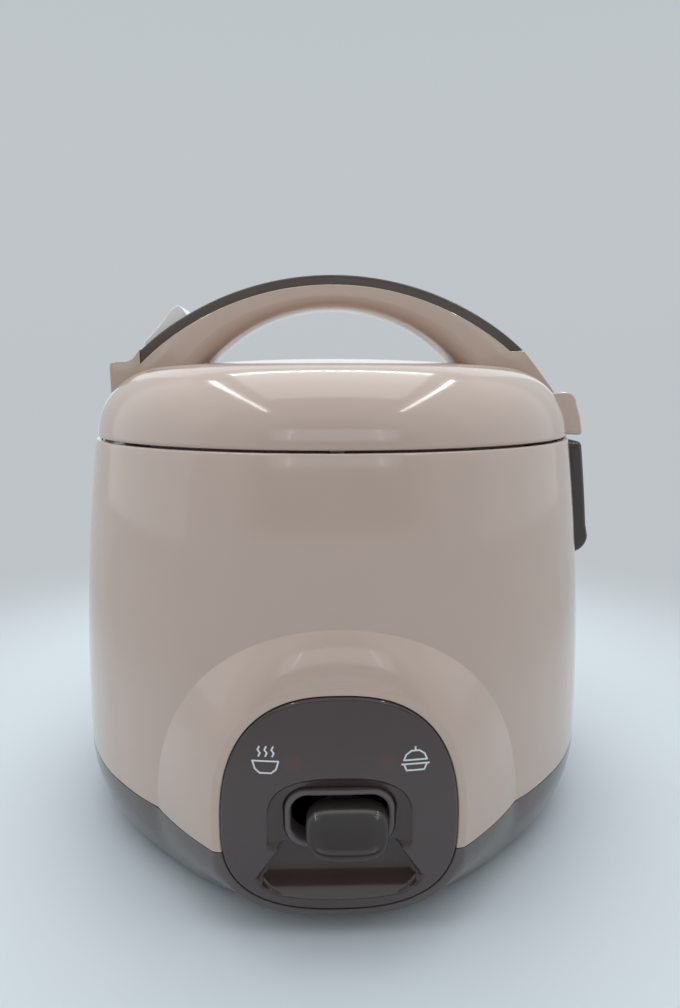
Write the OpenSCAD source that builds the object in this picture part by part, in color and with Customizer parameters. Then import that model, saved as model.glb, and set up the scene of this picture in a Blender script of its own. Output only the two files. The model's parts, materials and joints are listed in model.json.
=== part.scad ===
// Small household rice cooker with a lever switch.
// Origin: the pot's axis where it meets the table. +Z is up, the control panel faces -Y,
// the lid's hinge is at +X and its latch at -X. All sizes are in millimetres.

/* [Body] */
// Radius of the body at its rim
rim_r = 105; // [104.5:0.25:105.5]
// Largest radius of the body, where it meets the base
belly_r = 114; // [113:0.5:115]
// Height of the body's rim above the table
rim_z = 160; // [159.5:0.25:160.5]
// Height of the base ring above the table
base_z = 31; // [30:0.5:32]
// Thickness of the moulded walls
wall = 2.4; // [2:0.1:2.6]
// Height of the rubber feet
foot_h = 4; // [3.5:0.25:4.5]

/* [Control panel] */
// Half of the panel's greatest width
panel_half_w = 38.8; // [36:0.4:40]
// Height of the panel's top edge
panel_top_z = 84.4; // [83.6:0.2:88]
// Height of the panel's bottom edge
panel_bottom_z = 10.7; // [10:0.1:12]
// Width of the lever's window
window_w = 31.8; // [31:0.2:33]
// Width of the lever's paddle
paddle_w = 25.6; // [22:0.4:26]

/* [Lid] */
// Height of the lid above its lower edge, at the middle
lid_h = 32.4; // [31:0.2:33]
// Radius of the lid's rounded shoulder
lid_shoulder = 28.5; // [27.5:0.25:29]
// Radius of the steam cap
steam_cap_r = 14.4; // [13:0.2:15]

/* [Handle] */
// Radius of the handle's outer arc
handle_r = 125; // [124:0.5:126]
// Height of the handle's highest point
handle_top_z = 229; // [227:0.5:230]
// Radius of the arch under the handle
arch_r = 77; // [74:0.5:78]
// Height of the top of that arch
arch_top_z = 216; // [214:0.5:217]
// Depth of the handle, front to back, at its middle
handle_depth = 32; // [30:0.5:34]

/* [Pot] */
// Inside radius of the pot
pot_r = 80.5; // [78:0.5:81]
// Height of the pot's underside
pot_bottom_z = 48.5; // [48.5:0.5:52]

/* [Hidden] */
$fn = 96;
eps = 0.01;
gap = 0.3;
fit_gap = 0.05;
beige = "#c9bdb2";
light_beige = "#dcd2c8";
brown = "#4c4242";
dark_grey = "#3a3b3e";
steel = "#b4b7ba";
aluminium = "#c5c8ca";

// Body and base outlines
base_tuck = 8;
tuck_power = 2.2;
wall_steps = 16;
floor_z = foot_h + wall;
lid_z = rim_z + 0.8;
deck_z = 157.5;

// Collar around the panel
collar_half_arc = 69.5;
collar_rise = 73.2;
collar_foot_angle = 36;
lip_w = 3.2;
panel_mid_z = 40;
panel_front_y = -122.5;
panel_curve_r = 219;
panel_bow_r = 250;
panel_square = 2.85;
panel_square_top = 2.5;
panel_t = 4.6;
lens_x = 15;
lens_z = 63.6;
lens_r = 3;
lens_front_y = -119.1;

// Lever window, dish and scoop
window_low_z = 35.7;
window_high_z = 52.4;
window_corner = 6;
bezel_w = 2.2;
dish_half_w = 23.8;
dish_low_z = 33.8;
dish_mid_z = 44;
dish_top_z = 58.6;
dish_square = 2.6;
dish_depth = 2.2;
scoop_r = 25;
scoop_y = -139;
scoop_z = 33;
scoop_low_z = 13.4;
scoop_mid_z = 21.9;
scoop_top_half = 19.2;
scoop_low_half = 27;
scoop_wall = 2;

// Pot, liner and upper ring
pot_wall = 1.5;
pot_rim_z = 156;
pot_flange_r = 88;
pot_corner = 12;
liner_r = 87.5;
liner_wall = 1;
liner_low_z = 30;
liner_top_z = 152;
seat_z = 154.5;

// Heater and thermostat
plate_r = 68;
plate_low_z = 37;
plate_top_z = 48.2;
element_ring_r = 48;
element_r = 3.5;
post_ring_r = 60;
shield_r = 72;
shield_top_z = 46;
housing_r = 12.6;
housing_bore_r = 11.4;
housing_low_z = 27;
housing_top_z = 46.3;
housing_wall = 1.2;
cap_r = 14.6;
cap_in_r = 13;
cap_skirt_z = 41;
ferrite_low_z = 42;
magnet_spring_r = 9.7;
ferrite_r = 8.2;
magnet_low_z = 31;
rod_r = 1.8;
rod_low_z = 26.5;
band_low_z = 88;
band_top_z = 112;
band_from_y = 40;
fuse_y = 52;
fuse_z = 25;
fuse_r = 2.2;
fuse_half = 14;
block_half = 14;
block_from_y = 72;
block_to_y = 88;
block_pitch = 9;

// Lever and its pivot
pivot_y = -62;
pivot_z = 23;
pin_r = 1.5;
bracket_half = 14;
bracket_deep = 6;
bracket_drop = 5;
arm_low_z = 21;
arm_top_z = 25;
arm_half_w = 4;
arm_rise_y = -98;
arm_neck_z = 44;
arm_end_y = 5;
paddle_x = 2;
paddle_round = 3;
switch_y = -80;
lever_spring_y = -95.5;
lever_spring_r = 3.2;
wire_r = 1.2;

// Hinge
hinge_x = 103.5;
hinge_z = 169.5;
ear_half_y = 19;
ear_top_z = 179;
ear_low_z = 159.7;
ear_out_x = 110;
ear_lean = 3;
knuckle_r = 4.8;
knuckle_half_y = 12;
spring_half_y = 4.6;

// Power inlet
inlet_half_w = 17;
inlet_low_z = 36;
inlet_top_z = 62;
inlet_from_y = 104;
inlet_to_y = 127.5;
inlet_corner = 2;
socket_half_w = 12.5;
socket_low_z = 41;
socket_top_z = 57;
socket_end_y = 111;
inlet_pin_r = 1.65;
inlet_pin_gap = 7;
inlet_pin_z = 49;
inlet_pin_from = 101;
inlet_pin_to = 123;

// Dew collector
cup_back_x = 102.2;
pocket_wall = 2;
cup_half_y = 18.8;
cup_low_z = 105.5;
cup_top_z = 157.2;
cup_proud = 5.8;
cup_wall = 1.6;
cup_corner = 8;
pocket_half = cup_half_y + 0.6 + pocket_wall;

// Handle, button and latch
handle_z = handle_top_z - handle_r;
arch_z = arch_top_z - arch_r;
strip_t = 4.2;
strip_end_x = 83.5;
strip_end_z = 197;
hub_x = -97;
hub_z = 192;
hub_round = 2;
foot_right_x = 98;
foot_low_z = 170;
leg_half_y = 18.5;
underside_flat = 7;
underside_round = 6;
arch_reach = 30;
button_angle = 36;
button_half_x = 11.6;
button_half_y = 9;
latch_x = -89;
latch_z = 172;
latch_tip_x = -71.5;
latch_tip_z = 188.5;
hook_x = -94.2;
hook_half_y = 5.6;
latch_slot_half = 7.5;
strike_half = 7.2;
strike_low_x = -92.4;
strike_high_x = -89.8;
strike_ear_half = 12;
hook_low_z = 151.5;
steam_y = 48;
lining_r = 101.2;
lining_t = 1.8;
lining_rib_r = 91;
plate_hole_r = 3;
plate_r_out = 83;
plate_t = 1;
plate_z = 157.4;
gasket_in_r = 83.2;
gasket_out_r = 88.6;
gasket_low_z = 156.3;
seat_in_r = 10.2;
seat_out_r = 12;
seat_flange_z = 186;
seat_top_z = 190.6;
cap_low_z = 176;
cap_stem_r = 9.6;
cap_flange_z = 187.9;
cap_top_z = 193.3;
cap_hollow_r = 8;
lid_screw_ring = 95.5;
lid_screw_r = 1.5;

// Feet and screws
foot_ring = 60;
foot_r = 9;
foot_plug_r = 3.8;
boss_ring = 88;
boss_r = 5;
base_screw_r = 1.6;
base_head_r = 3.4;
base_screw_l = 22;
vent_from = 30;
vent_to = 48;
vent_half = 2;

// ---- outlines ----

// Radius of the body's outside at a height
function body_out(z) = belly_r - (belly_r - rim_r) * pow((z - base_z) / (rim_z - base_z), 2);

// Radius of the base ring's outside at a height
function base_out(z) = belly_r - base_tuck * pow((base_z - z) / (base_z - foot_h), tuck_power);

// Point of a squared-off ellipse at an angle
function squircle(a, b, n, t) =
    [a * sign(cos(t)) * pow(abs(cos(t)), 2 / n), b * sign(sin(t)) * pow(abs(sin(t)), 2 / n)];

// Radius of the barrel that carries the panel's face, measured from its own axis
function drum_out(z) = panel_curve_r - pow(z - panel_mid_z, 2) / (2 * panel_bow_r);

// Point on a circle in a plane
function on_circle(x, y, r, t) = [x + r * cos(t), y + r * sin(t)];

// ---- helpers ----

// Extrudes an X-Z outline from y0 to y1
module along_y(y0, y1) {
    translate([0, y1, 0])
        rotate([90, 0, 0])
            linear_extrude(y1 - y0)
                children();
}

// Extrudes a Y-Z outline from x0 to x1
module along_x(x0, x1) {
    translate([x0, 0, 0])
        rotate([90, 0, 90])
            linear_extrude(x1 - x0)
                children();
}

// Box between two corners
module block(low, high) {
    translate(low)
        cube(high - low);
}

// Cylinder along Y through (x, z)
module rod_y(x, z, r, y0, y1) {
    translate([x, y1, z])
        rotate([90, 0, 0])
            cylinder(r = r, h = y1 - y0);
}

// Cylinder along X through (y, z)
module rod_x(y, z, r, x0, x1) {
    translate([x0, y, z])
        rotate([0, 90, 0])
            cylinder(r = r, h = x1 - x0);
}

// Ring standing on the XY plane
module ring(r_out, r_in, z0, z1) {
    translate([0, 0, z0])
        difference() {
            cylinder(r = r_out, h = z1 - z0);
            translate([0, 0, -1])
                cylinder(r = r_in, h = z1 - z0 + 2);
        }
}

// Open helical spring standing on z = 0
module coil(r, wire_r, height, turns) {
    sides = 8;
    per_turn = 16;
    rings = turns * per_turn;
    points = [for (i = [0:rings]) for (j = [0:sides - 1])
        let (a = 360 * i / per_turn, b = 360 * j / sides, q = r + wire_r * cos(b))
            [q * cos(a), q * sin(a), wire_r + (height - 2 * wire_r) * i / rings + wire_r * sin(b)]];
    walls = [for (i = [0:rings - 1]) for (j = [0:sides - 1])
        let (k = (j + 1) % sides)
            [i * sides + j, (i + 1) * sides + j, (i + 1) * sides + k, i * sides + k]];
    low_end = [[for (j = [0:sides - 1]) j]];
    high_end = [[for (j = [sides - 1:-1:0]) rings * sides + j]];
    polyhedron(points, concat(walls, low_end, high_end), convexity = 6);
}

// Round wire through a list of points, none of its stretches lying along X
module wire(points, r) {
    sides = 8;
    last = len(points) - 1;
    rings = [for (i = [0:last])
        let (along = points[min(i + 1, last)] - points[max(i - 1, 0)],
            u = cross(along, [1, 0, 0]) / norm(cross(along, [1, 0, 0])),
            v = cross(along, u) / norm(along))
            for (j = [0:sides - 1])
                points[i] + r * (cos(360 * j / sides) * u + sin(360 * j / sides) * v)];
    walls = [for (i = [0:last - 1]) for (j = [0:sides - 1])
        let (k = (j + 1) % sides)
            [i * sides + j, (i + 1) * sides + j, (i + 1) * sides + k, i * sides + k]];
    low_end = [[for (j = [0:sides - 1]) j]];
    high_end = [[for (j = [sides - 1:-1:0]) last * sides + j]];
    polyhedron(rings, concat(walls, low_end, high_end), convexity = 4);
}

// Countersunk screw with its head down at z = 0
module screw(r, head_r, length) {
    cylinder(r = head_r, h = 1.6);
    cylinder(r = r, h = length);
}

// ---- shared solids ----

// Body of revolution inside the outer wall, drawn in by t
module body_solid(t, z0, z1) {
    rotate_extrude()
        polygon(concat([[0, z0]],
            [for (i = [0:wall_steps])
                let (z = z0 + (z1 - z0) * i / wall_steps)
                    [body_out(z) - t, z]],
            [[0, z1]]));
}

// Body of revolution inside the base ring, drawn in by t
module base_solid(t, z0, z1) {
    rotate_extrude()
        polygon(concat([[0, z0]],
            [for (i = [0:wall_steps])
                let (z = z0 + (z1 - z0) * i / wall_steps)
                    [base_out(min(z, base_z)) - t, z]],
            [[0, z1]]));
}

// Barrel whose front carries the panel's face, drawn in by t
module drum(t) {
    translate([0, panel_front_y + panel_curve_r, 0])
        rotate_extrude()
            polygon(concat([[0, 0]],
                [for (z = [0:8:120]) [drum_out(z) - t, z]],
                [[0, 120]]));
}

// Outline of the panel, grown by g
module panel_outline(g) {
    polygon([for (t = [0:5:355])
        let (b = t < 180 ? panel_top_z - panel_mid_z : panel_mid_z - panel_bottom_z)
            squircle(panel_half_w + g, b + g, t < 180 ? panel_square_top : panel_square, t)
                + [0, panel_mid_z]]);
}

// The bulge that carries the panel, drawn in by t
module collar_mass(t) {
    hull() {
        intersection() {
            along_y(panel_front_y - 1, panel_front_y + 8)
                panel_outline(lip_w - t);
            drum(t);
        }
        for (a = [0:7.5:180]) {
            z = base_z + (collar_rise - t) * sin(a);
            turn = (collar_half_arc - t) * cos(a) / body_out(z) * 180 / PI;
            rotate([0, 0, turn])
                translate([0, -body_out(z) + t + 0.3, z])
                    cube(0.1, center = true);
        }
        for (side = [-1, 1]) {
            rotate([0, 0, side * collar_foot_angle])
                translate([0, -base_out(floor_z + t) + t, floor_z + t])
                    cube(0.1, center = true);
        }
    }
}

// Rounded rectangle outline of the lever's window, grown by g
module window_outline(g) {
    half = window_w / 2 + g - window_corner;
    mid = (window_low_z + window_high_z) / 2;
    rise = (window_high_z - window_low_z) / 2 + g;
    translate([0, mid])
        square([2 * half, 2 * rise], center = true);
    translate([0, mid])
        square([2 * (half + window_corner), 2 * (rise - window_corner)], center = true);
    for (sx = [-1, 1], sz = [-1, 1])
        translate([sx * half, mid + sz * (rise - window_corner)])
            circle(r = window_corner, $fn = 32);
}

// Arch of the dish around the window
module dish_outline() {
    polygon(concat([[-dish_half_w, dish_low_z]],
        [for (t = [180:-10:0])
            squircle(dish_half_w, dish_top_z - dish_mid_z, dish_square, t) + [0, dish_mid_z]],
        [[dish_half_w, dish_low_z]]));
}

// Flared outline of the finger scoop, grown by g
module scoop_outline(g) {
    polygon(concat([[-scoop_top_half - g, dish_low_z + g]],
        [for (t = [180:15:360])
            squircle(scoop_low_half + g, scoop_mid_z - scoop_low_z + g, 2, t) + [0, scoop_mid_z]],
        [[scoop_top_half + g, dish_low_z + g]]));
}

// Lid's outside, drawn in by t and reaching down to z0
module lid_solid(t, z0) {
    side_r = rim_r - 1;
    mid_r = side_r - lid_shoulder - 0.5;
    crown_turn = 84;
    shoulder_w = side_r - mid_r - t;
    shoulder_h = lid_shoulder - t;
    edge_r = mid_r + shoulder_w * cos(crown_turn);
    edge_z = lid_z + shoulder_h * sin(crown_turn);
    crown_z = lid_z + lid_h - t;
    rotate_extrude()
        polygon(concat([[0, z0], [side_r - t, z0]],
            [for (a = [0:6:crown_turn])
                [mid_r + shoulder_w * cos(a), lid_z + shoulder_h * sin(a)]],
            [for (k = [0.8, 0.6, 0.4, 0.2])
                [edge_r * k, edge_z + (crown_z - edge_z) * (1 - k * k)]],
            [[0, crown_z]]));
}

// Hinge ear's outline, in X and Z
module ear_outline() {
    polygon(concat([[92, lid_z], [ear_out_x - 2, ear_low_z], [ear_out_x, ear_low_z + 0.6]],
        [for (t = [0:15:90]) on_circle(ear_out_x - ear_lean - 5, ear_top_z - 5, 5, t)],
        [[92, ear_top_z]]));
}

// Dew collector's outline, in X and Z, drawn in by t
module cup_outline(t, top_z) {
    low = cup_low_z + t;
    corner_x = body_out(low) + cup_proud - t - cup_corner;
    polygon(concat([[cup_back_x + t, low]],
        [for (a = [-90:15:0]) on_circle(corner_x, low + cup_corner, cup_corner, a)],
        [for (i = [1:6])
            let (z = low + cup_corner + (top_z - low - cup_corner) * i / 6)
                [body_out(z) + cup_proud - t, z]],
        [[cup_back_x + t, top_z]]));
}

// Handle's outline, in X and Z, under its strip
module handle_outline() {
    inner_r = handle_r - strip_t;
    left_turn = asin((strip_end_x + gap) / inner_r);
    right_turn = acos((strip_end_z - gap - handle_z) / inner_r);
    polygon(concat(
        [[strip_end_x + gap, strip_end_z - gap], [foot_right_x, ear_top_z], [foot_right_x, foot_low_z],
            [hub_x, foot_low_z], [hub_x, hub_z - hub_round], [hub_x + hub_round, hub_z],
            [-strip_end_x - 7, hub_z], [-strip_end_x - 3, hub_z + 1.2], [-strip_end_x - 1.2, hub_z + 3.2],
            [-strip_end_x - gap, strip_end_z]],
        [for (k = [0:1 / 32:1])
            let (a = -left_turn + k * (left_turn + right_turn))
                [inner_r * sin(a), handle_z + inner_r * cos(a)]]));
}

// Plan of the handle, which flares to its feet, shrunk by g
module handle_plan(g) {
    mid = handle_depth / 2 - g;
    leg = leg_half_y - g;
    steps = [for (x = [-100:20:100]) [x, mid + (leg - mid) * min(1, pow(abs(x) / 75, 2))]];
    polygon(concat(steps, [for (i = [len(steps) - 1:-1:0]) [steps[i][0], -steps[i][1]]]));
}

// The opening under the handle, wider at its two faces so that the underside is rounded
module arch_cut() {
    rise = [for (k = [0:0.2:1]) [underside_flat + k * (handle_depth / 2 - underside_flat),
        underside_round * (1 - sqrt(1 - k * k))]];
    translate([0, 0, arch_z])
        rotate([90, 0, 0])
            rotate_extrude()
                polygon(concat([[0, -arch_reach]],
                    [[arch_r + underside_round, -arch_reach]],
                    [for (i = [len(rise) - 1:-1:0]) [arch_r + rise[i][1], -rise[i][0]]],
                    [for (i = [0:len(rise) - 1]) [arch_r + rise[i][1], rise[i][0]]],
                    [[arch_r + underside_round, arch_reach], [0, arch_reach]]));
}

// Places children in the button's own frame, with z out of the handle
module at_button() {
    translate([-handle_r * sin(button_angle), 0, handle_z + handle_r * cos(button_angle)])
        rotate([0, -button_angle, 0])
            children();
}

// Room for the button, its stem and its spring, open to the latch below
module button_well() {
    at_button() {
        block([-button_half_x - 0.4, -button_half_y - 0.4, -9.6], [button_half_x + 0.4, button_half_y + 0.4, 12]);
        block([-14, -5, -34], [-3.6, 5, -9]);
        translate([4.5, 0, -14])
            cylinder(r = 3.8, h = 6);
    }
}

// ---- base and body ----

module body_shell() {
    color(beige)
        union() {
            difference() {
                union() {
                    body_solid(0, base_z, rim_z);
                    intersection() {
                        collar_mass(0);
                        block([-120, -140, base_z], [120, 0, rim_z]);
                    }
                }
                body_solid(wall, base_z - 1, rim_z + 1);
                collar_mass(wall);
                along_y(-140, -100)
                    panel_outline(gap);
                // notch for the hinge and pocket for the dew collector
                block([90, -ear_half_y - 0.8, cup_top_z], [130, ear_half_y + 0.8, rim_z + 1]);
                block([95, -cup_half_y - 0.6, cup_low_z - 0.5], [130, cup_half_y + 0.6, cup_top_z + 1]);
                // hole for the power inlet
                block([-inlet_half_w - 0.4, 90, inlet_low_z - 0.4], [inlet_half_w + 0.4, 140, inlet_top_z + 0.4]);
            }
            intersection() {
                body_solid(wall / 2, base_z, rim_z);
                difference() {
                    block([cup_back_x - 1 - pocket_wall, -pocket_half, cup_low_z - 0.6 - pocket_wall],
                        [130, pocket_half, cup_top_z]);
                    block([cup_back_x - 0.6, -cup_half_y - 0.6, cup_low_z - 0.5], [131, cup_half_y + 0.6, 180]);
                }
            }
        }
}

module base_shell() {
    color(brown)
        difference() {
            union() {
                base_solid(0, foot_h, base_z - 0.1);
                intersection() {
                    collar_mass(0);
                    block([-120, -140, foot_h], [120, 0, base_z - 0.1]);
                }
            }
            difference() {
                union() {
                    base_solid(wall, floor_z, base_z + 1);
                    collar_mass(wall);
                }
                block([-130, -130, 0], [130, 130, floor_z]);
                for (a = [45:90:315])
                    rotate([0, 0, a])
                        translate([boss_ring, 0, 0])
                            cylinder(r = boss_r, h = liner_low_z - gap);
            }
            along_y(-140, -100)
                panel_outline(gap);
            // vents in the floor
            for (a = [0:30:330])
                rotate([0, 0, a])
                    block([vent_from, -vent_half, 0], [vent_to, vent_half, floor_z + 1]);
            // feet sockets and screw holes
            for (a = [45:90:315])
                rotate([0, 0, a]) {
                    translate([foot_ring, 0, 0])
                        cylinder(r = foot_plug_r + 0.2, h = floor_z + 1);
                    translate([boss_ring, 0, 0])
                        cylinder(r = base_screw_r + 0.2, h = base_z + 1);
                    translate([boss_ring, 0, 0])
                        cylinder(r = base_head_r + 0.6, h = foot_h + 4);
                }
        }
}

module base_screws() {
    color(steel)
        for (a = [45:90:315])
            rotate([0, 0, a])
                translate([boss_ring, 0, foot_h + 2.4])
                    screw(base_screw_r, base_head_r, base_screw_l);
}

module rubber_feet() {
    color(dark_grey)
        for (a = [45:90:315])
            rotate([0, 0, a])
                translate([foot_ring, 0, 0]) {
                    cylinder(r = foot_r, h = foot_h - fit_gap);
                    cylinder(r = foot_plug_r, h = floor_z + 0.8);
                }
}

module upper_ring() {
    color(light_beige)
        difference() {
            rotate_extrude()
                polygon([[85, seat_z - 2], [85, seat_z], [89.6, seat_z], [89.6, deck_z],
                    [101.4, deck_z], [101.4, rim_z - 0.6], [102.3, rim_z - 0.6], [102.3, deck_z - 8],
                    [100.4, deck_z - 8], [100.4, deck_z - 2], [91.6, deck_z - 2], [91.6, seat_z - 2]]);
            // latch slot, hinge notch and dew pocket
            block([-99.6, -latch_slot_half, 140], [-88.6, latch_slot_half, 165]);
            block([97, -pocket_half - gap, 140], [120, pocket_half + gap, 165]);
        }
}

module inner_liner() {
    color(steel)
        difference() {
            translate([0, 0, liner_low_z])
                cylinder(r = liner_r, h = liner_top_z - liner_low_z);
            translate([0, 0, liner_low_z + liner_wall])
                cylinder(r = liner_r - liner_wall, h = liner_top_z);
            cylinder(r = 13.2, h = liner_low_z + 5);
            for (a = [-18, 18])
                rotate([0, 0, a + 90])
                    translate([element_ring_r, 0, 0])
                        cylinder(r = 6, h = liner_low_z + 5);
        }
}

module inner_pot() {
    color(aluminium)
        rotate_extrude()
            polygon(concat(
                [[0, pot_bottom_z], [pot_r + pot_wall - pot_corner, pot_bottom_z]],
                [for (a = [-75:15:0])
                    on_circle(pot_r + pot_wall - pot_corner, pot_bottom_z + pot_corner, pot_corner, a)],
                [[pot_r + pot_wall, pot_rim_z - 1.4], [pot_flange_r, pot_rim_z - 1.4],
                    [pot_flange_r, pot_rim_z], [pot_r + 1, pot_rim_z], [pot_r, pot_rim_z - 1]],
                [for (a = [0:-15:-75])
                    on_circle(pot_r + pot_wall - pot_corner, pot_bottom_z + pot_corner, pot_corner - pot_wall, a)],
                [[pot_r + pot_wall - pot_corner, pot_bottom_z + pot_wall], [0, pot_bottom_z + pot_wall]]));
}

// ---- heater and thermostat ----

module heating_plate() {
    color(aluminium)
        difference() {
            rotate_extrude()
                polygon([[15.4, plate_low_z], [plate_r - 4, plate_low_z], [plate_r, plate_low_z + 4],
                    [plate_r, plate_top_z - 1.5], [plate_r - 1.5, plate_top_z], [15.4, plate_top_z]]);
            translate([0, 0, plate_low_z])
                rotate_extrude()
                    translate([element_ring_r, 0])
                        circle(r = element_r + fit_gap);
            for (a = [30:120:270])
                rotate([0, 0, a])
                    translate([post_ring_r, 0, 0])
                        cylinder(r = 1.6, h = plate_low_z + 7);
        }
}

module heating_element() {
    color(dark_grey) {
        rotate([0, 0, 108])
            translate([0, 0, plate_low_z])
                rotate_extrude(angle = 324)
                    translate([element_ring_r, 0])
                        circle(r = element_r);
        for (a = [-18, 18])
            rotate([0, 0, a + 90])
                translate([element_ring_r, 0, liner_low_z - 5])
                    cylinder(r = 2.4, h = plate_low_z - liner_low_z + 6);
    }
}

module heater_posts() {
    color(steel)
        for (a = [30:120:270])
            rotate([0, 0, a])
                translate([post_ring_r, 0, 0]) {
                    translate([0, 0, liner_low_z + liner_wall + eps])
                        cylinder(r = 4, h = plate_low_z - liner_low_z - liner_wall - 2 * eps);
                    translate([0, 0, plate_low_z - 1])
                        cylinder(r = 1.5, h = 7);
                }
}

module heat_shield() {
    color(steel)
        difference() {
            union() {
                ring(shield_r + 6, shield_r, liner_low_z + 2, liner_low_z + 3);
                ring(shield_r + 1, shield_r, liner_low_z + 2, shield_top_z);
            }
            block([-6, 60, 0], [6, 90, 60]);
        }
}

module thermostat_housing() {
    color(steel)
        difference() {
            rotate_extrude()
                polygon([[rod_r + 0.6, housing_low_z], [housing_r, housing_low_z], [housing_r, housing_top_z],
                    [housing_bore_r, housing_top_z], [housing_bore_r, housing_low_z + housing_wall],
                    [rod_r + 0.6, housing_low_z + housing_wall]]);
            // slot that the lever's end rises through
            block([-arm_half_w - 0.6, -housing_r - 1, housing_low_z - 1],
                [arm_half_w + 0.6, arm_end_y + 1.2, housing_low_z + 4.6]);
        }
}

module thermostat_cap() {
    color(aluminium)
        rotate_extrude()
            polygon([[0, housing_top_z + gap], [cap_in_r, housing_top_z + gap], [cap_in_r, cap_skirt_z],
                [cap_r, cap_skirt_z], [cap_r, pot_bottom_z - 1],
                [cap_r - 0.8, pot_bottom_z - 0.1], [0, pot_bottom_z - 0.1]]);
}

module thermostat_ferrite() {
    color(dark_grey)
        translate([0, 0, ferrite_low_z])
            cylinder(r = ferrite_r, h = housing_top_z + gap - ferrite_low_z);
}

module thermostat_spring() {
    color(steel)
        translate([0, 0, magnet_low_z + 2.1])
            coil(magnet_spring_r, 0.45, housing_top_z + 0.2 - magnet_low_z - 2.1, 6);
}

module thermostat_magnet() {
    color(dark_grey)
        rotate_extrude()
            polygon([[0, rod_low_z], [rod_r, rod_low_z], [rod_r, magnet_low_z],
                [housing_bore_r - 0.5, magnet_low_z], [housing_bore_r - 0.5, magnet_low_z + 2],
                [ferrite_r, magnet_low_z + 2], [ferrite_r, magnet_low_z + 5],
                [0, magnet_low_z + 5]]);
}

module keep_warm_heater() {
    color("#8a5a44")
        difference() {
            ring(liner_r + 2, liner_r + 0.1, band_low_z, band_top_z);
            block([-100, -100, band_low_z - 1], [100, band_from_y, band_top_z + 1]);
        }
}

module thermal_fuse() {
    color("#d8cbb0") {
        rod_x(fuse_y, fuse_z, fuse_r, -fuse_half, fuse_half);
        block([-3, fuse_y - 3, fuse_z + 1.8], [3, fuse_y + 3, liner_low_z - 0.1]);
    }
}

module terminal_block() {
    color("#e4e0d6")
        difference() {
            block([-block_half, block_from_y, floor_z + 0.1], [block_half, block_to_y, floor_z + 12]);
            for (x = [-block_pitch, 0, block_pitch])
                translate([x, (block_from_y + block_to_y) / 2, floor_z + 4])
                    cylinder(r = 2.4, h = 20);
        }
}

module internal_wires() {
    low = floor_z + 9;
    color("#a33b32")
        wire([[-inlet_pin_gap, inlet_pin_from - 0.4, inlet_pin_z], [-7.4, 97.8, 48.4], [-8.4, 94.5, 40],
            [-9, 93, 24], [-9, 90, low]], wire_r);
    color("#3d5c9c")
        wire([[inlet_pin_gap, inlet_pin_from - 0.4, inlet_pin_z], [7.4, 97.8, 48.4], [8.4, 94.5, 40],
            [9, 93, 24], [9, 90, low]], wire_r);
    color("#a33b32")
        wire([[-9, 70, low], [-16, 64, 20], [-17.5, 52, 25]], wire_r);
    color("#3d5c9c")
        wire([[9, 70, low], [24, 40, 12], [26, 0, 10], [24, -60, 10], [12, -76, 10], [4.6, -84, 10]], wire_r);
}

// ---- lever ----

module lever_bracket() {
    color(steel) {
        for (side = [-1, 1])
            difference() {
                block([side * (bracket_half - 1) - 1, pivot_y - bracket_deep, pivot_z - bracket_drop],
                    [side * (bracket_half - 1) + 1, pivot_y + bracket_deep, liner_low_z - fit_gap]);
                rod_x(pivot_y, pivot_z, pin_r + 0.02, -20, 20);
            }
        block([-bracket_half, pivot_y - bracket_deep, liner_low_z - 1.2],
            [bracket_half, pivot_y + bracket_deep, liner_low_z - fit_gap]);
    }
}

module lever_pin() {
    color(steel)
        rod_x(pivot_y, pivot_z, pin_r, -bracket_half - 1, bracket_half + 1);
}

module lever_spring() {
    color(steel)
        translate([0, lever_spring_y, floor_z + fit_gap])
            coil(lever_spring_r, 0.5, arm_low_z - floor_z - 0.15, 6);
}

module lever_arm() {
    color(steel)
        difference() {
            union() {
                block([-arm_half_w, arm_rise_y, arm_low_z], [arm_half_w, arm_end_y, arm_top_z]);
                block([-arm_half_w, arm_rise_y, arm_low_z], [arm_half_w, arm_rise_y + 3, arm_neck_z + 4]);
                block([-arm_half_w, -114, arm_neck_z + 1], [arm_half_w, arm_rise_y + 1, arm_neck_z + 4]);
                rod_x(pivot_y, pivot_z, 4, -arm_half_w, arm_half_w);
                translate([0, 0, arm_top_z - 1])
                    cylinder(r = 4, h = 2.1);
            }
            rod_x(pivot_y, pivot_z, pin_r + fit_gap, -20, 20);
        }
}

module lever_paddle() {
    reach = paddle_w / 2 - paddle_round;
    color(brown)
        difference() {
            union() {
                hull()
                    for (side = [-1, 1]) {
                        translate([paddle_x + side * reach, -116.5, 46.8])
                            sphere(r = paddle_round, $fn = 24);
                        translate([paddle_x + side * (reach - 0.6), -126.6, 40.6])
                            sphere(r = paddle_round + 0.2, $fn = 24);
                        translate([paddle_x + side * reach, -122, 46.4])
                            sphere(r = paddle_round, $fn = 24);
                    }
                block([-5.6, -118, 43.6], [5.6, -104, 49.6]);
            }
            block([-arm_half_w - 0.1, -114.2, arm_neck_z + 0.9], [arm_half_w + 0.1, -90, arm_neck_z + 4.1]);
        }
}

module cook_switch() {
    color(dark_grey)
        difference() {
            block([-3.2, switch_y - 10, floor_z + 0.05], [3.2, switch_y + 10, floor_z + 10.6]);
            block([-1.7, switch_y - 1.7, floor_z + 6], [1.7, switch_y + 1.7, floor_z + 12]);
        }
}

module switch_plunger() {
    color("#b23a34")
        block([-1.4, switch_y - 1.4, floor_z + 8.2], [1.4, switch_y + 1.4, arm_low_z - gap]);
}

// ---- control panel ----

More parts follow.
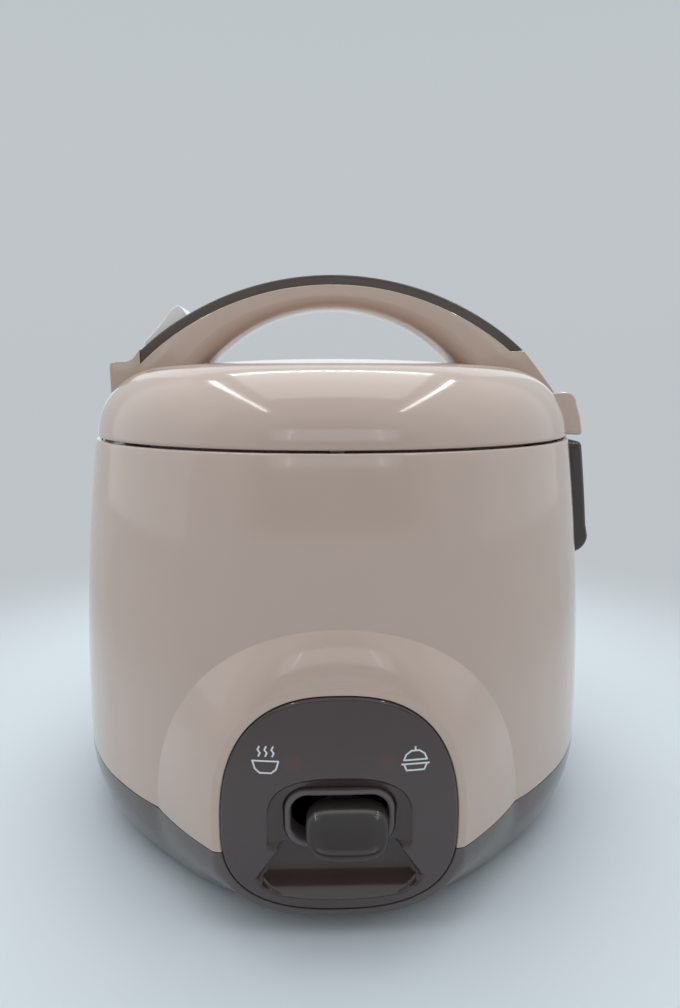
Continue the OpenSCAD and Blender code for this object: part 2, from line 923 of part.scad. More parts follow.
module control_panel() {
    color(brown)
        difference() {
            union() {
                intersection() {
                    along_y(-140, -100)
                        panel_outline(0);
                    difference() {
                        drum(0);
                        drum(panel_t);
                    }
                }
                intersection() {
                    along_y(-135, -105)
                        scoop_outline(scoop_wall);
                    rod_x(scoop_y, scoop_z, scoop_r + scoop_wall, -40, 40);
                    drum(1);
                }
            }
            // dish around the window
            difference() {
                along_y(-140, -105)
                    dish_outline();
                drum(dish_depth);
            }
            // finger scoop under the window
            intersection() {
                along_y(-140, -105)
                    scoop_outline(0);
                rod_x(scoop_y, scoop_z, scoop_r, -60, 60);
            }
            along_y(-140, -100)
                window_outline(bezel_w);
            // seats for the two lamps
            for (side = [-1, 1])
                rod_y(side * lens_x, lens_z, lens_r + 0.2, lens_front_y - gap, -100);
        }
}

module window_bezel() {
    color("#6a5f5e")
        difference() {
            along_y(-119.9, -113)
                window_outline(bezel_w - 0.1);
            along_y(-130, -100)
                window_outline(0);
        }
}

module indicator_lamps() {
    color("#c06a48")
        for (side = [-1, 1]) {
            rod_y(side * lens_x, lens_z, lens_r, lens_front_y, -108);
            rod_y(side * lens_x, lens_z, lens_r + 1.2, -115.2, -112);
        }
}

module power_inlet() {
    color(dark_grey)
        difference() {
            along_y(inlet_from_y, inlet_to_y)
                polygon([
                    [-inlet_half_w, inlet_low_z + inlet_corner], [-inlet_half_w + inlet_corner, inlet_low_z],
                    [inlet_half_w - inlet_corner, inlet_low_z], [inlet_half_w, inlet_low_z + inlet_corner],
                    [inlet_half_w, inlet_top_z - inlet_corner], [inlet_half_w - inlet_corner, inlet_top_z],
                    [-inlet_half_w + inlet_corner, inlet_top_z], [-inlet_half_w, inlet_top_z - inlet_corner]
                ]);
            block([-socket_half_w, socket_end_y, socket_low_z], [socket_half_w, inlet_to_y + 2, socket_top_z]);
            for (x = [-inlet_pin_gap, 0, inlet_pin_gap])
                rod_y(x, inlet_pin_z, inlet_pin_r + fit_gap, inlet_from_y - 1, socket_end_y + 1);
        }
}

module inlet_pins() {
    color("#c9b36a")
        for (x = [-inlet_pin_gap, 0, inlet_pin_gap])
            rod_y(x, inlet_pin_z, inlet_pin_r, inlet_pin_from, inlet_pin_to);
}

// ---- hinge, latch strike and dew collector ----

module hinge_bracket() {
    color(beige)
        difference() {
            union() {
                rod_y(hinge_x, hinge_z, knuckle_r, -knuckle_half_y, knuckle_half_y);
                along_y(-knuckle_half_y, knuckle_half_y)
                    polygon([[98.5, deck_z + 0.1], [106.5, deck_z + 0.1], [107.2, hinge_z - 2],
                        [99.2, hinge_z - 2]]);
                block([97.3, -knuckle_half_y, 140], [98.9, knuckle_half_y, deck_z + 3]);
            }
            rod_y(hinge_x, hinge_z, pin_r + 0.02, -20, 20);
            // gap for the spring
            block([95, -spring_half_y, hinge_z - 7], [115, spring_half_y, hinge_z + 10]);
        }
}

module hinge_pin() {
    color(steel)
        rod_y(hinge_x, hinge_z, pin_r, -17, 17);
}

module hinge_spring() {
    color(steel)
        translate([hinge_x, spring_half_y - 0.3, hinge_z])
            rotate([90, 0, 0])
                coil(2.7, 0.5, 2 * spring_half_y - 0.6, 7);
}

module latch_strike() {
    color(steel) {
        block([strike_low_x, -strike_half, seat_z + 0.1], [strike_high_x, strike_half, seat_z + 1.9]);
        for (side = [-1, 1]) {
            block([strike_low_x, side * (strike_half - 0.6) - 0.6, seat_z - 4],
                [strike_high_x, side * (strike_half - 0.6) + 0.6, seat_z + 1.9]);
            block([strike_low_x, min(side * strike_half, side * strike_ear_half) - eps, seat_z - 4],
                [strike_high_x, max(side * strike_half, side * strike_ear_half) + eps, seat_z - 2 - gap]);
        }
    }
}

module dew_collector() {
    color(brown)
        difference() {
            intersection() {
                along_y(-cup_half_y, cup_half_y)
                    cup_outline(0, cup_top_z);
                linear_extrude(200)
                    polygon([[100, -cup_half_y], [109, -cup_half_y], [120, -cup_half_y + 4],
                        [120, cup_half_y - 4], [109, cup_half_y], [100, cup_half_y]]);
            }
            along_y(-cup_half_y + cup_wall + 1, cup_half_y - cup_wall - 1)
                cup_outline(cup_wall, cup_top_z + 1);
        }
}

// ---- lid ----

module lid_cover() {
    color(beige)
        difference() {
            union() {
                lid_solid(0, lid_z);
                along_y(-ear_half_y, ear_half_y)
                    ear_outline();
            }
            difference() {
                lid_solid(wall, lid_z - 1);
                block([96, -ear_half_y + 0.5, lid_z - 2], [120, -knuckle_half_y - gap, 200]);
                block([96, knuckle_half_y + gap, lid_z - 2], [120, ear_half_y - 0.5, 200]);
            }
            // room for the body's knuckle
            rod_y(hinge_x, hinge_z, knuckle_r + gap, -knuckle_half_y - gap, knuckle_half_y + gap);
            along_y(-knuckle_half_y - gap, knuckle_half_y + gap)
                polygon([[90, 150], [125, 150], [125, hinge_z + 2.1], [hinge_x, hinge_z + 2.1], [90, hinge_z + 1]]);
            rod_y(hinge_x, hinge_z, pin_r + 0.06, -17.3, 17.3);
            // hole for the steam valve
            translate([0, steam_y, 150])
                cylinder(r = steam_cap_r + 2.2, h = 60);
            // slot for the latch, under the handle's left foot
            block([-95, -latch_slot_half + 0.5, 165], [-64, latch_slot_half - 0.5, 200]);
        }
}

module lid_lining() {
    color("#e3ddd4")
        difference() {
            union() {
                translate([0, 0, lid_z + 0.2])
                    cylinder(r = lining_r, h = lining_t);
                ring(lining_rib_r, lining_rib_r - 2, 158.2, lid_z + 0.3);
                for (side = [-1, 1])
                    along_y(side * 8 - 1.5, side * 8 + 1.5)
                        polygon([[latch_x - 4, lid_z + 1], [latch_x + 6, lid_z + 1],
                            [latch_x + 3, latch_z + 3.5], [latch_x - 3, latch_z + 3.5]]);
            }
            rod_y(latch_x, latch_z, pin_r + 0.02, -20, 20);
            block([-99.6, -6.4, 150], [-88, 6.4, 170]);
            block([95.5, -ear_half_y - 0.2, 150], [120, ear_half_y + 0.2, 170]);
            translate([0, steam_y, 150])
                cylinder(r = 9, h = 30);
            cylinder(r = plate_hole_r, h = 200);
            for (a = [30:60:330])
                rotate([0, 0, a])
                    translate([lid_screw_ring, 0, 150])
                        cylinder(r = lid_screw_r + 0.2, h = 30);
        }
}

module lid_plate() {
    color(aluminium)
        difference() {
            rotate_extrude()
                polygon([[0, plate_z + 2 * plate_t], [60, plate_z + 2 * plate_t], [66, plate_z + plate_t],
                    [plate_r_out, plate_z + plate_t], [plate_r_out, plate_z],
                    [65, plate_z], [59, plate_z + plate_t], [0, plate_z + plate_t]]);
            cylinder(r = plate_hole_r, h = 200);
            for (a = [0:45:315])
                translate([0, steam_y, 150])
                    rotate([0, 0, a])
                        translate([4.6, 0, 0])
                            cylinder(r = 1.4, h = 20);
        }
}

module lid_gasket() {
    color("#efece6")
        rotate_extrude()
            polygon([[gasket_in_r, gasket_low_z + 0.5], [gasket_in_r + 2.3, gasket_low_z],
                [gasket_out_r, gasket_low_z], [gasket_out_r, lid_z], [gasket_in_r, lid_z]]);
}

module plate_grommet() {
    color("#efece6")
        rotate_extrude()
            polygon([[0, 156.4], [5, 156.4], [5.6, 157.2], [5.6, 158.3], [2.8, 158.3],
                [2.8, lid_z + 2.1], [4.6, lid_z + 2.1], [3.6, lid_z + 4], [0, lid_z + 4]]);
}

module lid_screws() {
    color(steel)
        for (a = [30:60:330])
            rotate([0, 0, a])
                translate([lid_screw_ring, 0, lid_z - 1.2])
                    screw(lid_screw_r, 2 * lid_screw_r, 7);
}

module valve_seat() {
    color(light_beige)
        translate([0, steam_y, 0])
            difference() {
                rotate_extrude()
                    polygon([[seat_in_r, lid_z + 2.1], [seat_out_r, lid_z + 2.1],
                        [seat_out_r, seat_flange_z - 1.4], [steam_cap_r + 2, seat_flange_z],
                        [steam_cap_r + 2, seat_top_z], [steam_cap_r + 0.5, seat_top_z],
                        [steam_cap_r + 0.5, seat_flange_z + 1.6], [seat_in_r, seat_flange_z + 0.4]]);
            }
}

module steam_cap() {
    color(beige)
        translate([0, steam_y, 0])
            difference() {
                rotate_extrude()
                    polygon([[0, cap_low_z], [cap_stem_r, cap_low_z], [cap_stem_r, cap_flange_z],
                        [steam_cap_r, cap_flange_z + 0.5], [steam_cap_r, cap_top_z - 1.7],
                        [steam_cap_r - 1.6, cap_top_z - 0.5], [0, cap_top_z]]);
                // steam slots and the hollow below them
                translate([0, 0, cap_low_z - 1])
                    cylinder(r = cap_hollow_r, h = 14);
                for (x = [-5, 0, 5])
                    block([x - 1, -5.5, seat_flange_z], [x + 1, 5.5, cap_top_z + 5]);
            }
}

// ---- handle, button and latch ----

module handle_shell() {
    color(beige)
        difference() {
            intersection() {
                along_y(-25, 25)
                    handle_outline();
                linear_extrude(300)
                    handle_plan(0);
            }
            arch_cut();
            lid_solid(-0.02, 150);
            button_well();
            // room for the latch and its pin
            block([-94.6, -10.4, 160], [-72, 10.4, latch_z + 12]);
            block([95.4, -30, 150], [120, 30, 176]);
            // the ear's place
            along_y(-30, 30)
                ear_outline();
        }
}

module handle_strip() {
    color(brown)
        difference() {
            intersection() {
                along_y(-25, 25)
                    difference() {
                        translate([0, handle_z])
                            circle(r = handle_r, $fn = 180);
                        translate([0, handle_z])
                            circle(r = handle_r - strip_t + eps, $fn = 180);
                        translate([-200, 0])
                            square([200 - strip_end_x, 400]);
                        translate([-200, 0])
                            square([400, hub_z]);
                        square([200, strip_end_z]);
                    }
                linear_extrude(300)
                    handle_plan(0.3);
            }
            button_well();
        }
}

module release_button() {
    color(light_beige)
        at_button() {
            along_y(-button_half_y, button_half_y)
                polygon([[-button_half_x, -6], [button_half_x, -6], [button_half_x, 5.4],
                    [button_half_x - 1.6, 6.9], [button_half_x - 4, 6.9], [-button_half_x + 1, 3.2],
                    [-button_half_x, 2.2]]);
            translate([-8, 0, -12])
                cylinder(r = 2.6, h = 7);
        }
}

module button_spring() {
    color(steel)
        at_button()
            translate([4.5, 0, -13.9])
                coil(2.8, 0.4, 7.8, 4);
}

module latch_hook() {
    rise = [latch_tip_x - latch_x, latch_tip_z - latch_z];
    across = [-rise[1], rise[0]] / norm(rise) * 2;
    foot = [latch_x, latch_z];
    color(steel)
        difference() {
            union() {
                rod_y(latch_x, latch_z, 4, -6, 6);
                along_y(-4, 4)
                    polygon([foot - across, foot + rise - across, foot + rise + across, foot + across]);
                along_y(-hook_half_y, hook_half_y)
                    polygon([[hook_x - 1.6, hook_low_z + 1.5], [hook_x + 1, hook_low_z],
                        [hook_x + 3.9, hook_low_z + 2], [hook_x + 3.9, seat_z - 0.3],
                        [hook_x + 1, seat_z - 0.3], [hook_x + 1, latch_z - 9], [latch_x + 1, latch_z],
                        [latch_x - 3, latch_z + 1], [hook_x - 1.6, latch_z - 6]]);
            }
            rod_y(latch_x, latch_z, pin_r + fit_gap, -20, 20);
        }
}

module latch_pin() {
    color(steel)
        rod_y(latch_x, latch_z, pin_r, -9.5, 9.5);
}

module latch_spring() {
    color(steel)
        translate([-80, 0, lid_z + 2.05])
            coil(3, 0.45, 11.2, 5);
}

body_shell();
base_shell();
base_screws();
rubber_feet();
upper_ring();
inner_liner();
inner_pot();
heating_plate();
heating_element();
heater_posts();
heat_shield();
thermostat_housing();
thermostat_cap();
thermostat_ferrite();
thermostat_spring();
thermostat_magnet();
keep_warm_heater();
thermal_fuse();
terminal_block();
internal_wires();
lever_bracket();
lever_pin();
lever_spring();
lever_arm();
lever_paddle();
cook_switch();
switch_plunger();
control_panel();
window_bezel();
indicator_lamps();
power_inlet();
inlet_pins();
hinge_bracket();
hinge_pin();
hinge_spring();
latch_strike();
dew_collector();
lid_cover();
lid_lining();
lid_plate();
lid_gasket();
plate_grommet();
lid_screws();
handle_shell();
handle_strip();
release_button();
button_spring();
latch_hook();
latch_pin();
latch_spring();
valve_seat();
steam_cap();
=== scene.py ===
import json
import math

import bmesh
import bpy
from mathutils import Matrix, Vector


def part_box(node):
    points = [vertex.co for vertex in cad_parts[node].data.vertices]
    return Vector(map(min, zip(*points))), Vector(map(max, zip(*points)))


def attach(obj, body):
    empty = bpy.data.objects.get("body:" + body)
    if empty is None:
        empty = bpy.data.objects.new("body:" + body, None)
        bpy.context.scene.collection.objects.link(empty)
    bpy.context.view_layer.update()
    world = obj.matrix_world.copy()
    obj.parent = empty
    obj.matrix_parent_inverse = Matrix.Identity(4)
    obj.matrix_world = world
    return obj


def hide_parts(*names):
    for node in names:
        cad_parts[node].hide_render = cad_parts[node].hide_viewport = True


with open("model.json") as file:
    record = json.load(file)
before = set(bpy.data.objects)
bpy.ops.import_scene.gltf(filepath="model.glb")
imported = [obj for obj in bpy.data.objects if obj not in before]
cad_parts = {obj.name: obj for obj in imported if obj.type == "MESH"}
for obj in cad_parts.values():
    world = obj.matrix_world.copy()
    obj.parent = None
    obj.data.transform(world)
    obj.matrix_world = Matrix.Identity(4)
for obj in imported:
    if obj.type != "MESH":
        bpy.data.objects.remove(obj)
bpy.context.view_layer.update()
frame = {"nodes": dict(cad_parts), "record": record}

MM = 0.001

# ---------------------------------------------------------------- sizes read from the frame

BASE_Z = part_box("body_shell")[0].z
RIM_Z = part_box("body_shell")[1].z
BELLY_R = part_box("body_shell")[1].x
RIM_R = BELLY_R - 9 * MM
FOOT_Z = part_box("base_shell")[0].z
LID_Z = RIM_Z + 0.8 * MM
LID_R = RIM_R - 1 * MM
LID_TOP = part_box("lid_cover")[1].z
PANEL_LOW, PANEL_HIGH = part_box("control_panel")
PANEL_HALF_W = PANEL_HIGH.x
PANEL_FRONT = PANEL_LOW.y
HANDLE_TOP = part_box("handle_strip")[1].z

# ---------------------------------------------------------------- outlines, as in the CAD part

BASE_TUCK = 8 * MM
TUCK_POWER = 2.2
PANEL_MID_Z = 40 * MM
PANEL_SQUARE, PANEL_SQUARE_TOP = 2.85, 2.5
DRUM_R = 219 * MM
DRUM_BOW = 500 * MM
DRUM_Y = PANEL_FRONT + DRUM_R
LIP_W = 3.2 * MM
COLLAR_CROWN = 1.1 * MM
COLLAR_ARC = 69.5 * MM
COLLAR_RISE = 73.2 * MM
PATCH_TURN = math.radians(50)
PATCH_TOP = 125 * MM


def body_r(z):
    """Radius of the body's outside at a height."""
    return BELLY_R - (BELLY_R - RIM_R) * ((z - BASE_Z) / (RIM_Z - BASE_Z)) ** 2


def base_depth(z):
    """How far down the base ring a height is, from 0 at its top to 1 at its foot."""
    return min(1.0, max(0.0, (BASE_Z - z) / (BASE_Z - FOOT_Z)))


def base_r(z):
    """Radius of the base ring's outside at a height, away from the panel."""
    return BELLY_R - BASE_TUCK * base_depth(z) ** TUCK_POWER


def drum_r(turn, z):
    """Distance from the pot's axis to the panel's curved face, at an angle from the front."""
    reach = DRUM_R - (z - PANEL_MID_Z) ** 2 / DRUM_BOW
    return -DRUM_Y * math.cos(turn) + math.sqrt(reach**2 - (DRUM_Y * math.sin(turn)) ** 2)


def on_wall(turn, z, r):
    """Point at a radius, an angle from the front and a height."""
    return Vector((r * math.sin(turn), -r * math.cos(turn), z))


def smooth(t):
    t = min(1.0, max(0.0, t))
    return t * t * (3 - 2 * t)


def mix(a, b, t):
    return a + (b - a) * t


def panel_measure(x, z, grow=0.0):
    """Below 1 inside the panel's outline, above 1 outside it."""
    half_h = (PANEL_HIGH.z - PANEL_MID_Z) if z > PANEL_MID_Z else (PANEL_MID_Z - PANEL_LOW.z)
    a = abs(x) / (PANEL_HALF_W + grow)
    b = abs(z - PANEL_MID_Z) / (half_h + grow)
    power = PANEL_SQUARE_TOP if z > PANEL_MID_Z else PANEL_SQUARE
    return a**power + b**power


def panel_edge(angle, grow=0.0, centre_z=None):
    """Where a ray from the panel's inside, at an angle from +X, meets the panel's outline."""
    centre_z = BASE_Z if centre_z is None else centre_z
    low, high = 0.0, 120 * MM
    for _ in range(40):
        mid = (low + high) / 2
        x, z = mid * math.cos(angle), centre_z + mid * math.sin(angle)
        if panel_measure(x, z, grow) < 1:
            low = mid
        else:
            high = mid
    return low * math.cos(angle), centre_z + low * math.sin(angle)


def turn_on_drum(x, z):
    """Angle from the front of the point of the panel's face at a given X."""
    turn = math.asin(x / (PANEL_FRONT * -1))
    for _ in range(12):
        turn = math.asin(max(-1, min(1, x / drum_r(turn, z))))
    return turn


# ---------------------------------------------------------------- mesh helpers

def mesh_object(name, verts, faces, material, weld=None, levels=0, smooth_angle=None):
    """A mesh object in the scene, smooth shaded."""
    mesh = bpy.data.meshes.new(name)
    mesh.from_pydata([tuple(v) for v in verts], [], faces)
    mesh.validate()
    if weld:
        bm = bmesh.new()
        bm.from_mesh(mesh)
        bmesh.ops.remove_doubles(bm, verts=bm.verts, dist=weld)
        bmesh.ops.recalc_face_normals(bm, faces=bm.faces)
        bm.to_mesh(mesh)
        bm.free()
    mesh.materials.append(material)
    obj = bpy.data.objects.new(name, mesh)
    bpy.context.scene.collection.objects.link(obj)
    shade(obj, smooth_angle)
    if levels:
        sub = obj.modifiers.new("smooth", "SUBSURF")
        sub.levels = levels
        sub.render_levels = levels
    return obj


def shade(obj, angle=None):
    """Smooth shading, with edges sharper than the angle kept crisp."""
    mesh = obj.data
    for poly in mesh.polygons:
        poly.use_smooth = True
    if angle is not None:
        bm = bmesh.new()
        bm.from_mesh(mesh)
        for edge in bm.edges:
            if len(edge.link_faces) == 2:
                edge.smooth = edge.calc_face_angle() < angle
        bm.to_mesh(mesh)
        bm.free()


def grid_faces(rows, cols, closed_cols=False):
    """Quads of a grid of rows by cols vertices."""
    span = cols if closed_cols else cols - 1
    return [
        (r * cols + c, r * cols + (c + 1) % cols, (r + 1) * cols + (c + 1) % cols, (r + 1) * cols + c)
        for r in range(rows - 1)
        for c in range(span)
    ]


def ring_quad(first, k, n):
    """Quad k between two closed rings of n vertices each; first is the index where they start."""
    return (first + k, first + (k + 1) % n, first + n + (k + 1) % n, first + n + k)


def lathe(name, profile, material, steps, centre=(0, 0)):
    """A surface of revolution about a vertical axis through an (r, z) profile."""
    verts = []
    for r, z in profile:
        for k in range(steps):
            a = 2 * math.pi * k / steps
            verts.append((centre[0] + r * math.cos(a), centre[1] + r * math.sin(a), z))
    faces = grid_faces(len(profile), steps, closed_cols=True)
    return mesh_object(name, verts, faces, material, weld=1e-6)


def extrude_outline(name, outline, y0, y1, material):
    """A solid between y0 and y1 with an X-Z outline."""
    n = len(outline)
    verts = [(x, y0, z) for x, z in outline] + [(x, y1, z) for x, z in outline]
    faces = [(k, (k + 1) % n, n + (k + 1) % n, n + k) for k in range(n)]
    faces += [tuple(range(n))[::-1], tuple(range(n, 2 * n))]
    return mesh_object(name, verts, faces, material, weld=1e-7, smooth_angle=math.radians(30))


def add_bevel(obj, width, segments):
    """Rounds an object's sharp edges."""
    mod = obj.modifiers.new("edges", "BEVEL")
    mod.width = width
    mod.segments = segments
    mod.limit_method = "ANGLE"
    mod.angle_limit = math.radians(30)
    mod.harden_normals = True


def apply_modifiers(obj):
    """Bakes an object's modifiers into its mesh."""
    graph = bpy.context.evaluated_depsgraph_get()
    mesh = bpy.data.meshes.new_from_object(obj.evaluated_get(graph))
    obj.modifiers.clear()
    obj.data = mesh
    return obj


def subtract(obj, cutter):
    """Cuts one mesh object out of another and removes the cutter."""
    mod = obj.modifiers.new("cut", "BOOLEAN")
    mod.operation = "DIFFERENCE"
    mod.object = cutter
    mod.solver = "EXACT"
    bpy.context.view_layer.update()
    apply_modifiers(obj)
    bpy.data.objects.remove(cutter)
    return obj


def place(obj, body, *nodes, slot=None):
    """Lets a piece ride on a body and stand for CAD nodes."""
    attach(obj, body)
    if nodes:
        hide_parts(*nodes)
    return obj


# ---------------------------------------------------------------- materials

def noise_nodes(nodes, links, scale, detail=3.0):
    coords = nodes.new("ShaderNodeTexCoord")
    noise = nodes.new("ShaderNodeTexNoise")
    noise.inputs["Scale"].default_value = scale
    noise.inputs["Detail"].default_value = detail
    links.new(coords.outputs["Object"], noise.inputs["Vector"])
    return noise


def surface(name, color, rough=0.3, metal=0.0, vary=0.05, vary_scale=40.0, grain=0.0, grain_scale=900.0,
            rough_vary=0.0, rough_scale=60.0, coat=0.0, coat_rough=0.05, stretch=None, sss=0.0):
    """A procedural finish: base colour that drifts a little, roughness that varies and a fine grain."""
    mat = bpy.data.materials.new(name)
    mat.use_nodes = True
    nodes, links = mat.node_tree.nodes, mat.node_tree.links
    shader = nodes["Principled BSDF"]
    shader.inputs["Metallic"].default_value = metal
    shader.inputs["Roughness"].default_value = rough
    shader.inputs["Coat Weight"].default_value = coat
    shader.inputs["Coat Roughness"].default_value = coat_rough
    if sss:
        shader.inputs["Subsurface Weight"].default_value = sss
        shader.inputs["Subsurface Scale"].default_value = 0.002
    drift = noise_nodes(nodes, links, vary_scale)
    ramp = nodes.new("ShaderNodeMapRange")
    ramp.inputs["From Min"].default_value = 0.3
    ramp.inputs["From Max"].default_value = 0.7
    ramp.inputs["To Min"].default_value = 0.0
    ramp.inputs["To Max"].default_value = 1.0
    links.new(drift.outputs["Fac"], ramp.inputs["Value"])
    tint = nodes.new("ShaderNodeMix")
    tint.data_type = "RGBA"
    tint.inputs["A"].default_value = (*[c * (1 - vary) for c in color], 1)
    tint.inputs["B"].default_value = (*[min(1.0, c * (1 + vary)) for c in color], 1)
    links.new(ramp.outputs["Result"], tint.inputs["Factor"])
    links.new(tint.outputs["Result"], shader.inputs["Base Color"])
    if rough_vary:
        smudge = noise_nodes(nodes, links, rough_scale, detail=5.0)
        span = nodes.new("ShaderNodeMapRange")
        span.inputs["From Min"].default_value = 0.3
        span.inputs["From Max"].default_value = 0.7
        span.inputs["To Min"].default_value = max(0.0, rough - rough_vary)
        span.inputs["To Max"].default_value = rough + rough_vary
        links.new(smudge.outputs["Fac"], span.inputs["Value"])
        links.new(span.outputs["Result"], shader.inputs["Roughness"])
    if grain:
        fine = noise_nodes(nodes, links, grain_scale, detail=2.0)
        if stretch:
            mapping = nodes.new("ShaderNodeMapping")
            mapping.inputs["Scale"].default_value = stretch
            source = fine.inputs["Vector"].links[0].from_socket
            links.new(source, mapping.inputs["Vector"])
            links.new(mapping.outputs["Vector"], fine.inputs["Vector"])
        bump = nodes.new("ShaderNodeBump")
        bump.inputs["Strength"].default_value = grain
        bump.inputs["Distance"].default_value = 0.0001
        links.new(fine.outputs["Fac"], bump.inputs["Height"])
        links.new(bump.outputs["Normal"], shader.inputs["Normal"])
    return mat


BEIGE = (0.585, 0.455, 0.39)
PALE = (0.86, 0.82, 0.79)
HANDLE = (0.54, 0.415, 0.345)
# colour of the painted shade in the panel's dish and scoop
RECESS_SHADE = (0.050, 0.030, 0.028)
CUP = (0.062, 0.049, 0.043)
BROWN = (0.070, 0.049, 0.048)
STRIP = (0.088, 0.066, 0.056)
BASE_BROWN = (0.100, 0.083, 0.079)

finish = {
    "beige_shell": surface("beige_gloss", BEIGE, rough=0.12, vary=0.012, rough_vary=0.02, grain=0.02,
                           grain_scale=500, coat=0.25, coat_rough=0.03),
    "handle_shell": surface("handle_gloss", HANDLE, rough=0.16, vary=0.012, rough_vary=0.02, grain=0.02,
                            grain_scale=500, coat=0.2, coat_rough=0.04),
    "cup_gloss": surface("cup_satin", CUP, rough=0.24, vary=0.05, rough_vary=0.04, grain=0.06),
    "pale_trim": surface("pale_gloss", PALE, rough=0.16, vary=0.015, rough_vary=0.03, coat=0.2, grain=0.02),
    "brown_gloss": surface("brown_gloss", BROWN, rough=0.16, vary=0.05, rough_vary=0.03, grain=0.03),
    "brown_strip": surface("brown_satin", STRIP, rough=0.3, vary=0.05, rough_vary=0.04, grain=0.12),
    "base_brown": surface("base_brown_gloss", BASE_BROWN, rough=0.14, vary=0.04, rough_vary=0.02, coat=0.2,
                          grain=0.02),
    "pot_aluminium": surface("spun_aluminium", (0.62, 0.63, 0.64), rough=0.32, metal=1.0, vary=0.04,
                             rough_vary=0.06, grain=0.25, grain_scale=300, stretch=(1, 1, 40)),
    "cast_aluminium": surface("cast_aluminium", (0.56, 0.57, 0.58), rough=0.42, metal=1.0, vary=0.08,
                              rough_vary=0.08, grain=0.35, grain_scale=700),
    "sheet_steel": surface("zinc_steel", (0.55, 0.56, 0.57), rough=0.34, metal=1.0, vary=0.07,
                           vary_scale=120, rough_vary=0.08, grain=0.12),
    "spring_steel": surface("spring_wire", (0.50, 0.50, 0.51), rough=0.25, metal=1.0, vary=0.05, grain=0.1),
    "screw_steel": surface("nickel_steel", (0.63, 0.63, 0.62), rough=0.2, metal=1.0, vary=0.04,
                           rough_vary=0.05, grain=0.05),
    "white_plastic": surface("white_plastic", (0.66, 0.63, 0.58), rough=0.42, vary=0.02, rough_vary=0.05,
                             grain=0.2),
    "dark_plastic": surface("black_plastic", (0.02, 0.02, 0.021), rough=0.45, vary=0.1, rough_vary=0.06,
                            grain=0.35),
    "foot_rubber": surface("foot_rubber", (0.028, 0.028, 0.029), rough=0.75, vary=0.15, rough_vary=0.08,
                           grain=0.4),
    "seal_silicone": surface("silicone", (0.68, 0.66, 0.61), rough=0.4, vary=0.03, sss=0.15, grain=0.1),
    "ferrite": surface("ferrite", (0.03, 0.03, 0.032), rough=0.6, vary=0.2, vary_scale=300, grain=0.5),
    "warm_wrap": surface("glass_fibre_band", (0.30, 0.13, 0.07), rough=0.7, vary=0.15, vary_scale=400,
                         grain=0.6),
    "fuse_sleeve": surface("fibre_sleeve", (0.62, 0.54, 0.40), rough=0.7, vary=0.12, vary_scale=500,
                           grain=0.6),
    "lamp_amber": surface("amber_lens", (0.60, 0.16, 0.05), rough=0.2, vary=0.05, coat=0.4, grain=0.05),
    "pin_brass": surface("plated_brass", (0.72, 0.60, 0.33), rough=0.25, metal=1.0, vary=0.05, grain=0.08),
    "wire_colours": surface("wire_sleeve", (0.36, 0.05, 0.035), rough=0.5, vary=0.1, grain=0.15),
    "plunger_red": surface("red_plunger", (0.40, 0.05, 0.035), rough=0.4, vary=0.06, grain=0.1),
}

slots = {row["node"]: row["material_slot"] for row in frame["record"]["subparts"]}
for node, obj in frame["nodes"].items():
    for slot in obj.material_slots:
        slot.material = finish[slots[node]]


# ---------------------------------------------------------------- camera, stage and light

HAZE = (0.515, 0.55, 0.575)
HAZE_REACH = (0.16, 0.46)
CAMERA_DISTANCE = 0.3104
CAMERA_HEIGHT = 0.1797
CAMERA_PITCH = math.radians(9.85)
CAMERA_TURN = math.radians(1.54)
CAMERA_ASIDE = 3.3 * MM


def make_camera():
    data = bpy.data.cameras.new("camera")
    data.sensor_fit = "VERTICAL"
    data.sensor_height = 36
    data.lens = 23.39
    data.clip_start = 0.01
    camera = bpy.data.objects.new("camera", data)
    forward = Vector((math.sin(CAMERA_TURN), math.cos(CAMERA_TURN), 0))
    aside = Vector((math.cos(CAMERA_TURN), -math.sin(CAMERA_TURN), 0))
    camera.location = -CAMERA_DISTANCE * forward + CAMERA_ASIDE * aside + Vector((0, 0, CAMERA_HEIGHT))
    camera.rotation_euler = (math.pi / 2 - CAMERA_PITCH, 0, -CAMERA_TURN)
    bpy.context.scene.collection.objects.link(camera)
    bpy.context.scene.camera = camera


def make_floor():
    """A pale flat floor, which fades into the haze of the surroundings away from the object."""
    profile = [(r, 0.0) for r in (0.0, 0.6, 1.2, 2.4, 6.0, 40.0)]
    mat = surface("paper_floor", (0.71, 0.755, 0.79), rough=0.6, vary=0.01, vary_scale=3, rough_vary=0.05,
                  rough_scale=8, grain=0.05)
    nodes, links = mat.node_tree.nodes, mat.node_tree.links
    coords = nodes.new("ShaderNodeTexCoord")
    reach = nodes.new("ShaderNodeVectorMath")
    reach.operation = "LENGTH"
    links.new(coords.outputs["Object"], reach.inputs[0])
    fade = nodes.new("ShaderNodeMapRange")
    fade.interpolation_type = "SMOOTHSTEP"
    fade.inputs["From Min"].default_value, fade.inputs["From Max"].default_value = HAZE_REACH
    links.new(reach.outputs["Value"], fade.inputs["Value"])
    haze = nodes.new("ShaderNodeEmission")
    haze.inputs["Color"].default_value = (*HAZE, 1)
    blend = nodes.new("ShaderNodeMixShader")
    links.new(fade.outputs["Result"], blend.inputs[0])
    links.new(nodes["Principled BSDF"].outputs["BSDF"], blend.inputs[1])
    links.new(haze.outputs["Emission"], blend.inputs[2])
    links.new(blend.outputs["Shader"], nodes["Material Output"].inputs["Surface"])
    floor = lathe("floor", profile, mat, steps=48)


